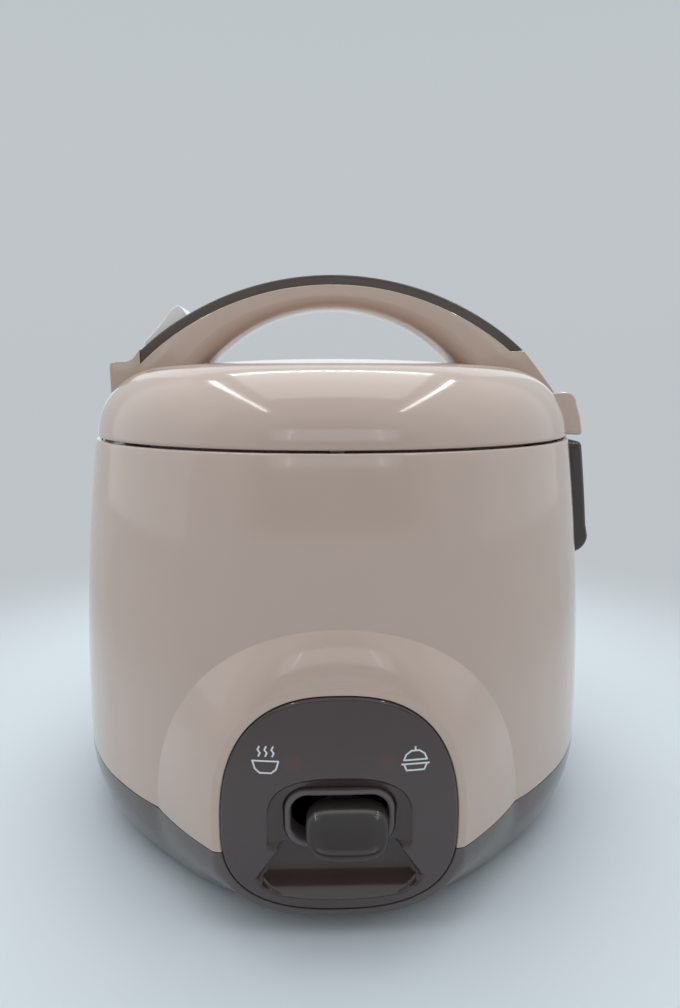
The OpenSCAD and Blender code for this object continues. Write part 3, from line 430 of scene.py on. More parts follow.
def area_light(name, location, target, size, power, color=(1, 1, 1)):
    """A rectangular lamp, in metres and watts, that the camera does not see."""
    data = bpy.data.lights.new(name, "AREA")
    data.shape = "RECTANGLE"
    data.size, data.size_y = size
    data.energy = power
    data.color = color
    light = bpy.data.objects.new(name, data)
    light.location = location
    direction = Vector(target) - Vector(location)
    light.rotation_euler = direction.to_track_quat("-Z", "Y").to_euler()
    light.visible_camera = False
    bpy.context.scene.collection.objects.link(light)


LAMPS_EACH_SIDE, LAMP_STEP = 7, 0.034


def make_lights():
    """A light tent: bright roof and sides, thin lamp strips along the roof's edges, a dim open front."""
    cool = (0.87, 0.95, 1.0)
    area_light("roof", (0, 0.04, 0.72), (0, 0.04, 0), (0.52, 0.62), 1.45, (0.93, 0.97, 1.0))
    area_light("left_wall", (-0.48, -0.02, 0.36), (0, 0, 0.12), (0.6, 0.6), 0.42, cool)
    area_light("right_wall", (0.48, -0.02, 0.36), (0, 0, 0.12), (0.6, 0.6), 0.34, cool)
    area_light("back_wall", (0, 0.75, 0.45), (0, 0, 0.1), (1.0, 0.8), 1.1, cool)
    for side in (-1, 1):
        area_light("side_strip", (side * 0.315, -0.14, 0.66), (side * 0.315, -0.14, 0), (0.016, 0.64), 0.55)
        area_light("front_strip", (side * 0.31, -0.90, 0.42), (0, -0.11, 0.10), (0.012, 0.24), 0.035)
    area_light("front_card", (0, -0.92, 0.41), (0, -0.11, 0.10), (0.95, 0.24), 0.7, cool)
    for k in range(-LAMPS_EACH_SIDE, LAMPS_EACH_SIDE + 1):
        area_light("lamp_row", (k * LAMP_STEP, 0.30, 0.70), (k * LAMP_STEP, 0.30, 0), (0.018, 0.012), 0.03)


def make_world():
    """Pale surroundings, with a dim warm room in front of the object."""
    world = bpy.data.worlds.new("studio")
    world.use_nodes = True
    bpy.context.scene.world = world
    nodes, links = world.node_tree.nodes, world.node_tree.links
    background = nodes["Background"]
    coords = nodes.new("ShaderNodeTexCoord")
    split = nodes.new("ShaderNodeSeparateXYZ")
    links.new(coords.outputs["Generated"], split.inputs["Vector"])
    height = nodes.new("ShaderNodeValToRGB")
    links.new(split.outputs["Z"], height.inputs["Fac"])
    ramp = height.color_ramp
    ramp.elements[0].position = 0.0
    ramp.elements[0].color = (*HAZE, 1)
    ramp.elements[1].position = 0.7
    ramp.elements[1].color = (0.50, 0.55, 0.57, 1)
    middle = ramp.elements.new(0.3)
    middle.color = (0.525, 0.56, 0.582, 1)
    front = nodes.new("ShaderNodeMapRange")
    front.inputs["From Min"].default_value = -0.70
    front.inputs["From Max"].default_value = -0.86
    front.inputs["To Min"].default_value = 0.0
    front.inputs["To Max"].default_value = 1.0
    links.new(split.outputs["Y"], front.inputs["Value"])
    room = nodes.new("ShaderNodeMix")
    room.data_type = "RGBA"
    room.inputs["B"].default_value = (0.06, 0.04, 0.03, 1)
    links.new(front.outputs["Result"], room.inputs["Factor"])
    links.new(height.outputs["Color"], room.inputs["A"])
    # the room shows in reflections only, so that the surroundings are plain from every side
    path = nodes.new("ShaderNodeLightPath")
    seen = nodes.new("ShaderNodeMix")
    seen.data_type = "RGBA"
    links.new(path.outputs["Is Camera Ray"], seen.inputs["Factor"])
    links.new(room.outputs["Result"], seen.inputs["A"])
    links.new(height.outputs["Color"], seen.inputs["B"])
    links.new(seen.outputs["Result"], background.inputs["Color"])
    background.inputs["Strength"].default_value = 1.0


make_camera()
make_floor()
make_lights()
make_world()
bpy.context.scene.view_settings.view_transform = "Standard"


# ---------------------------------------------------------------- body and base skins

CUP_TURNS = (math.radians(79.5), math.radians(100.5))
CUP_HOLE_Z = 103 * MM
INLET_TURNS = (math.radians(172), math.radians(188))
INLET_ROWS = (39 * MM, 59 * MM)


def wall_turns():
    """Angles of the wall's columns, counted from the front towards +X."""
    turns = [math.radians(2 * k) for k in range(180)]
    turns[40], turns[50] = CUP_TURNS
    return turns


def near_front(t0, t1, reach):
    """Whether a column of the wall, between two angles, lies within an angle of the front."""
    return t1 <= reach + 1e-6 or t0 >= 2 * math.pi - reach - 1e-6


def body_rows():
    """Heights of the body's rows above the collar's foot."""
    low = [BASE_Z, BASE_Z + 0.8 * MM, BASE_Z + 3 * MM]
    steps = [35 * MM + 4 * MM * k for k in range(23)]
    high = [PATCH_TOP, 131 * MM, 137 * MM, 143 * MM, 148 * MM, 152 * MM, 155 * MM, 157.2 * MM]
    return low + steps + high


def ruled_r(turn, lip, crease):
    """Radius, at an angle from the front, of the straight chord from the lip to the crease in plan."""
    p, q = on_wall(*lip), on_wall(*crease)
    d = Vector((math.sin(turn), -math.cos(turn)))
    run = Vector((q.x - p.x, q.y - p.y))
    return (p.x * run.y - p.y * run.x) / (d.x * run.y - d.y * run.x)


def border_path(turns, side):
    """Border of the panel's patch: up the right side, across and down the left side."""
    right = PATCH_TURN
    front = [t for t in turns if t <= right + 1e-9]
    front += [t - 2 * math.pi for t in turns if t >= 2 * math.pi - right - 1e-9]
    path = [(right, z) for z in side]
    path += [(t, side[-1]) for t in sorted(front, reverse=True)[1:-1]]
    path += [(-right, z) for z in reversed(side)]
    return path


def lip_points(turn0, z0, turn1, z1):
    """Points across the lip around the panel, from inside its opening out to its edge."""
    points = [on_wall(turn0, z0, drum_r(turn0, z0) - depth * MM) for depth in (5.0, 2.5, 0.9, 0.35)]
    for share, depth in ((0.06, 0.08), (0.14, 0.0), (0.5, 0.0), (0.86, 0.02), (1.0, 0.15)):
        turn, z = mix(turn0, turn1, share), mix(z0, z1, share)
        points.append(on_wall(turn, z, drum_r(turn, z) - depth * MM))
    return points


def body_patch():
    """Spokes of the collar, from inside the panel's opening out to the border of the patch."""
    path = border_path(wall_turns(), [z for z in body_rows() if z <= PATCH_TOP + 1e-9])
    spokes = []
    for turn3, z3 in path:
        angle = math.atan2(z3 - BASE_Z, turn3 * BELLY_R)
        angle = min(math.pi, max(0.0, angle))
        x0, z0 = panel_edge(angle, 0.35 * MM)
        x1, z1 = panel_edge(angle, LIP_W)
        turn0, turn1 = turn_on_drum(x0, z0), turn_on_drum(x1, z1)
        z2 = BASE_Z + COLLAR_RISE * math.sin(angle)
        turn2 = COLLAR_ARC * math.cos(angle) / body_r(z2)
        spoke = lip_points(turn0, z0, turn1, z1)
        lip = on_wall(turn1, z1, drum_r(turn1, z1) - 0.15 * MM)
        crease = on_wall(turn2, z2, body_r(z2))
        for share in (0.015, 0.05, 0.12, 0.22, 0.34, 0.46, 0.58, 0.7, 0.82, 0.91, 0.965, 0.99, 1.0):
            point = lip.lerp(crease, share)
            outward = Vector((point.x, point.y, 0)).normalized()
            spoke.append(point + outward * COLLAR_CROWN * 4 * share * (1 - share))
        for share in (0.012, 0.05, 0.15, 0.32, 0.6, 1.0):
            turn, z = mix(turn2, turn3, share), mix(z2, z3, share)
            spoke.append(on_wall(turn, z, body_r(z)))
        spokes.append(spoke)
    return spokes


def make_body():
    turns, rows = wall_turns(), body_rows()
    spokes = body_patch()
    cols = len(spokes[0])
    verts = [p for spoke in spokes for p in spoke]
    faces = grid_faces(len(spokes), cols)
    # the wall around the patch, with the rim turned in
    rings = [(z, body_r(z)) for z in rows]
    rings += [(RIM_Z - 0.9 * MM, body_r(RIM_Z)), (RIM_Z - 0.25 * MM, body_r(RIM_Z) - 0.15 * MM),
              (RIM_Z, body_r(RIM_Z) - 0.8 * MM), (RIM_Z, body_r(RIM_Z) - 2.0 * MM),
              (RIM_Z - 0.6 * MM, body_r(RIM_Z) - 2.4 * MM), (RIM_Z - 20 * MM, body_r(RIM_Z) - 1.2 * MM)]
    start = len(verts)
    for z, r in rings:
        verts += [on_wall(t, z, r) for t in turns]
    n = len(turns)
    for i in range(len(rings) - 1):
        for k in range(n):
            t0, t1 = turns[k], turns[(k + 1) % n] or 2 * math.pi
            z0, z1 = rings[i][0], rings[i + 1][0]
            front = near_front(t0, t1, PATCH_TURN) and z1 <= PATCH_TOP + 1e-9
            at_cup = t0 >= CUP_TURNS[0] - 1e-6 and t1 <= CUP_TURNS[1] + 1e-6 and z0 >= CUP_HOLE_Z
            at_inlet = (t0 >= INLET_TURNS[0] - 1e-6 and t1 <= INLET_TURNS[1] + 1e-6
                        and z0 >= INLET_ROWS[0] - 1e-6 and z1 <= INLET_ROWS[1] + 1e-6)
            if front or at_cup or at_inlet:
                continue
            faces.append(ring_quad(start + i * n, k, n))
    body = mesh_object("body_skin", verts, faces, finish["beige_shell"], weld=2e-6, levels=1)
    place(body, "base", "body_shell", slot="beige_shell")
    return body


SWELL_TURNS = (math.radians(2), math.radians(39))
TUCK_DEPTH = 4.4 * MM


def base_wall_r(turn, z):
    """Radius of the base ring at an angle from the front, with the swell under the panel."""
    k = base_depth(z)
    side_x, side_z = panel_edge(0.0, LIP_W)
    inner = mix(turn_on_drum(side_x, side_z), SWELL_TURNS[0], k)
    crease = COLLAR_ARC / BELLY_R
    outer = mix(crease, SWELL_TURNS[1], k)
    t = min(1.0, max(0.0, (outer - abs(turn)) / (outer - inner)))
    tuck = TUCK_DEPTH * k**TUCK_POWER
    plain = base_r(z)
    if t <= 0:
        return plain
    low = mix(plain, drum_r(turn, z) - tuck, t**1.5)
    top_turn = turn_on_drum(side_x, side_z)
    if abs(turn) < top_turn:
        high = drum_r(turn, BASE_Z) - 0.15 * MM
    elif abs(turn) < crease:
        high = ruled_r(abs(turn), (top_turn, BASE_Z, drum_r(top_turn, BASE_Z) - 0.15 * MM),
                       (crease, BASE_Z, BELLY_R))
        share = (abs(turn) - top_turn) / (crease - top_turn)
        high += COLLAR_CROWN * 4 * share * (1 - share)
    else:
        high = BELLY_R
    return mix(high - (BELLY_R - plain), low, smooth(min(1.0, k * 1.3)))


VENT_FROM, VENT_TO = 30 * MM, 48 * MM
VENT_STEP = 15
TOP_EDGE_TURN = math.radians(16)


def make_base():
    turns = wall_turns()
    heights = [30.7, 30.2, 29, 27, 24.5, 22, 19.5, 17, 14.5, 12, 10, 8, 6.6, 5.4, 4.6, 4.15]
    rows = [BASE_Z - (31 - h) * MM for h in heights]
    signed_turns = [t if t <= math.pi else t - 2 * math.pi for t in turns]
    path = border_path(turns, rows)
    verts = []
    for turn3, z3 in path:
        angle = math.atan2(z3 - rows[0], turn3 * BELLY_R)
        x0, z0 = panel_edge(angle, 0.35 * MM, rows[0])
        x1, z1 = panel_edge(angle, LIP_W, rows[0])
        z1 = max(z1, rows[-1] + 2.6 * MM)
        turn0, turn1 = turn_on_drum(x0, z0), turn_on_drum(x1, z1)
        verts += lip_points(turn0, z0, turn1, z1)
        miss = drum_r(turn1, z1) - 0.15 * MM - base_wall_r(turn1, z1)
        for k in range(1, 25):
            share = (k / 24) ** 1.35
            turn, z = mix(turn1, turn3, share), mix(z1, z3, share)
            verts.append(on_wall(turn, z, base_wall_r(turn, z) + miss * (1 - share) ** 3))
    cols = len(verts) // len(path)
    faces = grid_faces(len(path), cols)
    start = len(verts)
    n = len(turns)
    for z in rows:
        verts += [on_wall(t, z, base_wall_r(s, z)) for t, s in zip(turns, signed_turns)]
    for i in range(len(rows) - 1):
        for k in range(n):
            t0, t1 = turns[k], turns[(k + 1) % n] or 2 * math.pi
            if near_front(t0, t1, PATCH_TURN):
                continue
            faces.append(ring_quad(start + i * n, k, n))
    # top edge turned in under the body
    top = len(verts)
    for inset, z in ((3.0 * MM, rows[0] + 0.1 * MM), (0.5 * MM, rows[0] + 0.1 * MM), (0.0, rows[0])):
        verts += [on_wall(t, z, base_wall_r(s, z) - inset) for t, s in zip(turns, signed_turns)]
    for i in range(2):
        for k in range(n):
            t0, t1 = turns[k], turns[(k + 1) % n] or 2 * math.pi
            if near_front(t0, t1, TOP_EDGE_TURN):
                continue
            faces.append(ring_quad(top + i * n, k, n))
    # underside, closed in the middle, with a ring of slots for air
    foot = len(verts)
    for share in (0.0, 0.012, 0.05, 0.3):
        z = rows[-1] if share == 0 else FOOT_Z
        verts += [on_wall(t, z, base_wall_r(s, rows[-1]) * (1 - share)) for t, s in zip(turns, signed_turns)]
    flat = (VENT_TO + 1.5 * MM, VENT_TO, VENT_TO - 1 * MM, VENT_FROM + 1 * MM,
            VENT_FROM, VENT_FROM - 1.5 * MM, 6 * MM, 0.0005 * MM)
    for r in flat:
        verts += [on_wall(t, FOOT_Z, r) for t in turns]
    first_slot = 4 + flat.index(VENT_TO)
    for i in range(3 + len(flat)):
        for k in range(n):
            if first_slot <= i < first_slot + 3 and k % VENT_STEP in (0, VENT_STEP - 1):
                continue
            faces.append(ring_quad(foot + i * n, k, n))
    base = mesh_object("base_skin", verts, faces, finish["base_brown"], weld=2e-6, levels=1)
    place(base, "base", "base_shell", slot="base_brown")
    return base


# ---------------------------------------------------------------- lid skin

SHOULDER_H = 28.5 * MM
SHOULDER_W = 29 * MM
MID_R = LID_R - SHOULDER_W
CROWN_TURN = math.radians(84)
STEAM_Y = 48 * MM
VALVE_R = 16.6 * MM
EAR_HALF = 19 * MM
EAR_ROUND = 5.2 * MM
KNUCKLE_HALF = 12.3 * MM
NOTCH_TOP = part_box("hinge_bracket")[1].z - 2.7 * MM


def lid_profile():
    """The lid's outside from its inner lower edge to the middle of its crown."""
    lip = [(-2.6, 3.0), (-2.6, 0.5), (-2.2, 0.1), (-1.4, 0.0), (-0.7, 0.0), (-0.2, 0.18), (0.0, 0.6)]
    points = [(LID_R + x * MM, LID_Z + z * MM) for x, z in lip]
    for k in range(1, 29):
        a = CROWN_TURN * k / 28
        points.append((MID_R + SHOULDER_W * math.cos(a), LID_Z + SHOULDER_H * math.sin(a)))
    edge_r, edge_z = points[-1]
    for k in range(1, 17):
        share = 1 - k / 16
        points.append((edge_r * share, edge_z + (LID_TOP - edge_z) * (1 - share**2)))
    return points


def box_cutter(low, high):
    corners = [(x, y, z) for x in (low[0], high[0]) for y in (low[1], high[1]) for z in (low[2], high[2])]
    faces = [(0, 1, 3, 2), (4, 6, 7, 5), (0, 4, 5, 1), (2, 3, 7, 6), (0, 2, 6, 4), (1, 5, 7, 3)]
    return mesh_object("cutter", corners, faces, finish["beige_shell"], weld=1e-9)


def make_lid():
    lid = lathe("lid_skin", lid_profile(), finish["beige_shell"], steps=256)
    valve = lathe("cutter", [(0, 0.17), (VALVE_R, 0.17), (VALVE_R, 0.22), (0, 0.22)], finish["beige_shell"],
                  steps=96, centre=(0, STEAM_Y))
    subtract(lid, valve)
    subtract(lid, box_cutter((0.096, -KNUCKLE_HALF, 0.15), (0.13, KNUCKLE_HALF, NOTCH_TOP)))
    place(lid, "lid", "lid_cover", slot="beige_shell")

    ear_top, ear_low, ear_out = 179 * MM, 159.9 * MM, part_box("lid_cover")[1].x + 1.4 * MM
    outline = [(0.093, ear_low + 1 * MM), (ear_out - 0.4 * MM, ear_low)]
    outline += [(ear_out, ear_low + 1.2 * MM), (ear_out - 1.2 * MM, 168 * MM)]
    for k in range(7):
        a = math.radians(15 * k)
        x = ear_out - 8.4 * MM + EAR_ROUND * math.cos(a)
        outline.append((x, ear_top - EAR_ROUND + EAR_ROUND * math.sin(a)))
    outline += [(0.093, ear_top)]
    ear = extrude_outline("hinge_ear", outline, -EAR_HALF, EAR_HALF, finish["beige_shell"])
    subtract(ear, box_cutter((0.0925, -KNUCKLE_HALF, 0.15), (0.13, KNUCKLE_HALF, NOTCH_TOP)))
    shade(ear, math.radians(30))
    add_bevel(ear, 1.1 * MM, 4)
    place(ear, "lid", slot="beige_shell")


# ---------------------------------------------------------------- handle

HANDLE_R = 125 * MM
HANDLE_Z = HANDLE_TOP - HANDLE_R
STRIP_T = 4.2 * MM
STRIP_X = 83.5 * MM
STRIP_Z = 197 * MM
HUB_X = -97 * MM
HUB_Z = 192 * MM
HUB_ROUND = 2 * MM
ARCH_R = 77 * MM
ARCH_LIFT = 35 * MM
HALF_DEPTH = 16 * MM
FOOT_DEPTH = 18.5 * MM
FLARE_X = 75 * MM


def handle_half(x):
    """Half of the handle's depth at a distance from its middle."""
    return HALF_DEPTH + (FOOT_DEPTH - HALF_DEPTH) * min(1.0, (abs(x) / FLARE_X) ** 2)


def arc_point(r, turn):
    return Vector((r * math.sin(turn), HANDLE_Z + r * math.cos(turn)))


def arch_point(turn):
    """Point of the arch under the handle on the line at an angle from the handle's own centre."""
    reach = ARCH_LIFT * math.cos(turn) + math.sqrt(ARCH_R**2 - (ARCH_LIFT * math.sin(turn)) ** 2)
    return arc_point(reach, turn)


def handle_lines():
    """Pairs of points, outside and inside, that the handle's sections run between, from the left foot."""
    pairs = []
    foot = 168 * MM

    def add(x, z, inner_x, inner_z):
        pairs.append((Vector((x, z)), Vector((inner_x, inner_z))))

    for z in (170, 176, 182, 187, 189.5):
        add(HUB_X, z * MM, -92 * MM, foot)
    for k in range(1, 6):
        a = math.radians(18 * k)
        x = HUB_X + HUB_ROUND * (1 - math.cos(a))
        add(x, HUB_Z - HUB_ROUND + HUB_ROUND * math.sin(a), (-92 + 0.4 * k) * MM, foot)
    for x, z, inner in ((-93.5, 192, -89), (-91, 192.05, -87.6), (-89, 192.35, -86.6),
                        (-87.3, 193.1, -85.9), (-86, 194.3, -85.3), (-84.9, 195.8, -84.8),
                        (-84.1, 196.9, -84.3), (-83.85, 197.0, -84.15)):
        add(x * MM, z * MM, inner * MM, foot)
    left = math.asin((STRIP_X + 0.3 * MM) / (HANDLE_R - STRIP_T))
    right = math.acos((STRIP_Z - 0.3 * MM - HANDLE_Z) / (HANDLE_R - STRIP_T))
    under = HANDLE_R - STRIP_T
    arch_turn = math.radians(38)
    edge = arch_point(-arch_turn)
    count = 72
    for k in range(count + 1):
        turn = mix(-left, right, k / count)
        point = arc_point(under, turn)
        if turn < -arch_turn:
            share = (turn + left) / (left - arch_turn)
            inner = Vector((mix(-83.9 * MM, edge.x, share), mix(foot, edge.y, share**2)))
        elif turn > arch_turn:
            share = (turn - arch_turn) / (right - arch_turn)
            inner = Vector((mix(-edge.x, 65 * MM, share), mix(edge.y, 180 * MM, share)))
        else:
            inner = arch_point(turn)
        pairs.append((point, inner))
    for x, z, inner_x, inner_z in ((80.5, 196.7, 66, 178), (83.3, 196.7, 67, 176), (83.9, 196.5, 68, 175),
                                   (86.5, 193.4, 71, 172), (90, 189.2, 75, 170), (94, 184.2, 79, 168),
                                   (98, 179, 84, 166), (98.4, 174, 86, 164), (98.4, 169, 88, 162)):
        add(x * MM, z * MM, inner_x * MM, inner_z * MM)
    return pairs


def section_points(half, length, round_depth, round_rise, edge=0.8 * MM):
    """Half of a section: pairs of (way along the line, distance from the middle plane)."""
    points = [(0.0, 0.0), (0.0, half * 0.5), (0.0, half - edge), (edge * 0.12, half - edge * 0.45),
              (edge * 0.45, half - edge * 0.12), (edge, half)]
    points += [(mix(edge, length - round_rise, t), half) for t in (0.3, 0.6, 0.9)]
    for k in range(0, 7):
        a = math.radians(15 * k)
        points.append((length - round_rise * (1 - math.sin(a)), half - round_depth * (1 - math.cos(a))))
    points.append((length, 0.0))
    return points


def loft(name, lines, material, halves, rounds, edge):
    """A bar lofted through sections that run between pairs of points in the X-Z plane."""
    verts, width = [], 0
    for outer, inner in lines:
        along = inner - outer
        length = along.length
        way = along / length
        half = halves(outer.x)
        depth, rise = rounds
        side = section_points(half, length, min(depth, half * 0.7), min(rise, length * 0.45), edge)
        loop = [(t, y) for t, y in side] + [(t, -y) for t, y in reversed(side[1:-1])]
        width = len(loop)
        for t, y in loop:
            spot = outer + way * t
            verts.append((spot.x, y, spot.y))
    faces = grid_faces(len(lines), width, closed_cols=True)
    faces += [tuple(range(width)), tuple(range(len(verts) - width, len(verts)))[::-1]]
    return mesh_object(name, verts, faces, material, weld=1e-7, smooth_angle=math.radians(42))


BUTTON_TURN = math.radians(36)
BUTTON_HALF_X = 11.6 * MM
BUTTON_HALF_Y = 9 * MM


def button_matrix():
    spot = arc_point(HANDLE_R, -BUTTON_TURN)
    return Matrix.Translation((spot.x, 0, spot.y)) @ Matrix.Rotation(-BUTTON_TURN, 4, "Y")


def well_cutter():
    clear = 0.4 * MM
    cutter = box_cutter((-BUTTON_HALF_X - clear, -BUTTON_HALF_Y - clear, -9.6 * MM),
                        (BUTTON_HALF_X + clear, BUTTON_HALF_Y + clear, 12 * MM))
    cutter.data.transform(button_matrix())
    return cutter


def make_handle():
    handle = loft("handle_skin", handle_lines(), finish["handle_shell"], handle_half,
                  (9 * MM, 6 * MM), 0.7 * MM)
    subtract(handle, well_cutter())
    shade(handle, math.radians(42))
    place(handle, "lid", "handle_shell", slot="beige_shell")

    inner_r = HANDLE_R - STRIP_T + 0.05 * MM
    count = 96
    outer_turns = (-math.asin(STRIP_X / HANDLE_R), math.acos((STRIP_Z - HANDLE_Z) / HANDLE_R))
    inner_turns = (-math.asin(STRIP_X / inner_r), math.acos((STRIP_Z - HANDLE_Z) / inner_r))
    lines = []
    for k in range(count + 1):
        share = k / count
        outer = arc_point(HANDLE_R, mix(*outer_turns, share))
        lines.append((outer, arc_point(inner_r, mix(*inner_turns, share))))
    strip = loft("strip_skin", lines, finish["brown_strip"], lambda x: handle_half(x) - 0.6 * MM,
                 (0.1 * MM, 0.1 * MM), 1.3 * MM)
    subtract(strip, well_cutter())
    shade(strip, math.radians(42))
    place(strip, "lid", "handle_strip", slot="brown_strip")

    outline = [(-11.6, -5), (11.6, -5), (11.6, 4.9), (11.3, 6.0), (10.4, 6.75), (9.0, 6.9), (7.4, 6.9),
               (5.4, 6.4), (2.0, 5.2), (-3.0, 4.05), (-8.5, 3.25), (-10.4, 3.05), (-11.3, 2.5),
               (-11.6, 1.6)]
    outline = [(x * MM, z * MM) for x, z in outline][::-1]
    button = extrude_outline("button_skin", outline, -BUTTON_HALF_Y, BUTTON_HALF_Y, finish["pale_trim"])
    button.data.transform(button_matrix())
    add_bevel(button, 0.9 * MM, 4)
    shade(button, math.radians(35))
    place(button, "button", "release_button", slot="pale_trim")


# ---------------------------------------------------------------- dew collector

CUP_LOW, CUP_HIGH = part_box("dew_collector")
CUP_HALF = 18.8 * MM
CUP_CORNER = 8 * MM
CUP_PROUD = 6.4 * MM


def cup_outline(inset, top):
    low = CUP_LOW.z + inset
    corner_x = body_r(low) + CUP_PROUD - inset - CUP_CORNER
    outline = [(CUP_LOW.x + inset, low)]
    for k in range(9):
        a = math.radians(-90 + 11.25 * k)
        outline.append((corner_x + CUP_CORNER * math.cos(a), low + CUP_CORNER + CUP_CORNER * math.sin(a)))
    for k in range(1, 9):
        z = low + CUP_CORNER + (top - low - CUP_CORNER) * k / 8
        outline.append((body_r(min(z, RIM_Z)) + CUP_PROUD - inset, z))
    outline.append((CUP_LOW.x + inset, top))
    return outline


def make_cup():
    cup = extrude_outline("dew_cup_skin", cup_outline(0.0, CUP_HIGH.z), -CUP_HALF, CUP_HALF,
                          finish["cup_gloss"])
    add_bevel(cup, 2.2 * MM, 5)
    bpy.context.view_layer.update()
    apply_modifiers(cup)
    hollow = extrude_outline("cutter", cup_outline(1.6 * MM, CUP_HIGH.z + 5 * MM), -CUP_HALF + 2.6 * MM,
                             CUP_HALF - 2.6 * MM, finish["cup_gloss"])
    subtract(cup, hollow)
    shade(cup, math.radians(35))
    place(cup, "dew_cup", "dew_collector", slot="brown_strip")


# ---------------------------------------------------------------- control panel

WINDOW_W, WINDOW_LOW, WINDOW_HIGH = 15.9 * MM, 35.7 * MM, 51.9 * MM
WINDOW_CORNER = 6 * MM
WINDOW_Z = (WINDOW_LOW + WINDOW_HIGH) / 2
BEZEL_W = 1.9 * MM
DISH_HALF, DISH_TOP, DISH_MID, DISH_FOOT = 23.8 * MM, 58.6 * MM, 44 * MM, 33.8 * MM
DISH_SQUARE, DISH_DEPTH, DISH_SLOPE_W = 2.6, 2.6 * MM, 5 * MM
SCOOP_R, SCOOP_Y, SCOOP_Z = 31 * MM, -145.2 * MM, 33 * MM
SCOOP_LOW, SCOOP_MID, SCOOP_TOP_HALF, SCOOP_LOW_HALF = 13.4 * MM, 21.9 * MM, 19.2 * MM, 27 * MM


def window_edge(angle, grow):
    """Where a ray from the window's middle meets the window's outline, grown outwards."""
    low, high = 0.0, 60 * MM
    half_x, half_z = WINDOW_W + grow, (WINDOW_HIGH - WINDOW_LOW) / 2 + grow
    corner = WINDOW_CORNER + grow * 0.6
    for _ in range(36):
        mid = (low + high) / 2
        x, z = abs(mid * math.cos(angle)), abs(mid * math.sin(angle))
        dx, dz = max(0.0, x - (half_x - corner)), max(0.0, z - (half_z - corner))
        if math.hypot(dx, dz) < corner:
            low = mid
        else:
            high = mid
    return low * math.cos(angle), WINDOW_Z + low * math.sin(angle)


def drum_y(x, z):
    reach = DRUM_R - (z - PANEL_MID_Z) ** 2 / DRUM_BOW
    return DRUM_Y - math.sqrt(reach**2 - x**2)


def soft_step(distance, width):
    """0 outside an edge, 1 inside it, changing smoothly over a width."""
    return smooth(distance / width + 0.5)


def dish_share(x, z):
    """Depth of the dish around the window, from 0 at its edge to 1 at the bezel."""
    rise = DISH_TOP - DISH_MID
    across, up = abs(x) / DISH_HALF, max(0.0, z - DISH_MID) / rise
    reach = (across**DISH_SQUARE + up**DISH_SQUARE) ** (1 / DISH_SQUARE)
    distance = (1 - reach) * mix(DISH_HALF, rise, min(1.0, up))
    low = soft_step(z - DISH_FOOT, 1.6 * MM)
    step = soft_step(distance - 0.45 * MM, 0.9 * MM)
    ramp = min(1.0, max(0.0, distance / DISH_SLOPE_W))
    return (0.3 * step + 0.7 * ramp) * low


def scoop_depth(x, z):
    """Depth of the finger scoop under the drum's face."""
    if z > 40 * MM:
        return 0.0
    back = SCOOP_Y + math.sqrt(max(0.0, SCOOP_R**2 - (z - SCOOP_Z) ** 2))
    depth = max(0.0, back - drum_y(x, z))
    if z < SCOOP_MID:
        drop = min(1.0, (SCOOP_MID - z) / (SCOOP_MID - SCOOP_LOW + 0.5 * MM))
        half = SCOOP_LOW_HALF * math.sqrt(1 - drop**2)
    else:
        share = min(1.0, (z - SCOOP_MID) / (DISH_FOOT - SCOOP_MID))
        half = mix(SCOOP_LOW_HALF, SCOOP_TOP_HALF, share)
    side = soft_step(half - abs(x) - 0.3 * MM, 2.2 * MM)
    top = soft_step(DISH_FOOT + 1.0 * MM - z, 1.6 * MM)
    return depth * side * top


def face_depth(x, z):
    return max(DISH_DEPTH * dish_share(x, z), scoop_depth(x, z))


def ring_spokes():
    """Angles of the panel's spokes, evenly spaced."""
    return [2 * math.pi * k / 240 for k in range(240)]


def make_panel_material():
    mat = surface("panel_gloss", BROWN, rough=0.13, vary=0.04, vary_scale=25, rough_vary=0.02, grain=0.02,
                  coat=0.3, coat_rough=0.03)
    nodes, links = mat.node_tree.nodes, mat.node_tree.links
    shader = nodes["Principled BSDF"]
    coords = nodes.new("ShaderNodeTexCoord")
    base = shader.inputs["Base Color"].links[0].from_socket
    # painted glow: a soft reddish glow is painted into the panel's colour around the two indicator lamps
    painted_glow = None
    for side in (-1, 1):
        offset = nodes.new("ShaderNodeVectorMath")
        offset.operation = "DISTANCE"
        offset.inputs[1].default_value = (side * 15 * MM, -120.9 * MM, 63.6 * MM)
        links.new(coords.outputs["Object"], offset.inputs[0])
        fade = nodes.new("ShaderNodeMapRange")
        fade.inputs["From Min"].default_value = 3.6 * MM
        fade.inputs["From Max"].default_value = 1.2 * MM
        fade.inputs["To Min"].default_value = 0.0
        fade.inputs["To Max"].default_value = 0.45
        fade.interpolation_type = "SMOOTHSTEP"
        links.new(offset.outputs["Value"], fade.inputs["Value"])
        if painted_glow is None:
            painted_glow = fade.outputs["Result"]
        else:
            add = nodes.new("ShaderNodeMath")
            add.operation = "ADD"
            links.new(painted_glow, add.inputs[0])
            links.new(fade.outputs["Result"], add.inputs[1])
            painted_glow = add.outputs["Value"]
    tint = nodes.new("ShaderNodeMix")
    tint.data_type = "RGBA"
    tint.inputs["B"].default_value = (0.13, 0.05, 0.035, 1)
    links.new(painted_glow, tint.inputs["Factor"])
    links.new(base, tint.inputs["A"])
    # painted shade: the dish and the scoop are painted darker and browner than the face around them
    recess_shade = nodes.new("ShaderNodeAttribute")
    recess_shade.attribute_name = "recess_shade"
    shade_in = nodes.new("ShaderNodeMix")
    shade_in.data_type = "RGBA"
    shade_in.inputs["B"].default_value = (*RECESS_SHADE, 1)
    links.new(recess_shade.outputs["Fac"], shade_in.inputs["Factor"])
    links.new(tint.outputs["Result"], shade_in.inputs["A"])
    links.new(shade_in.outputs["Result"], shader.inputs["Base Color"])
    return mat


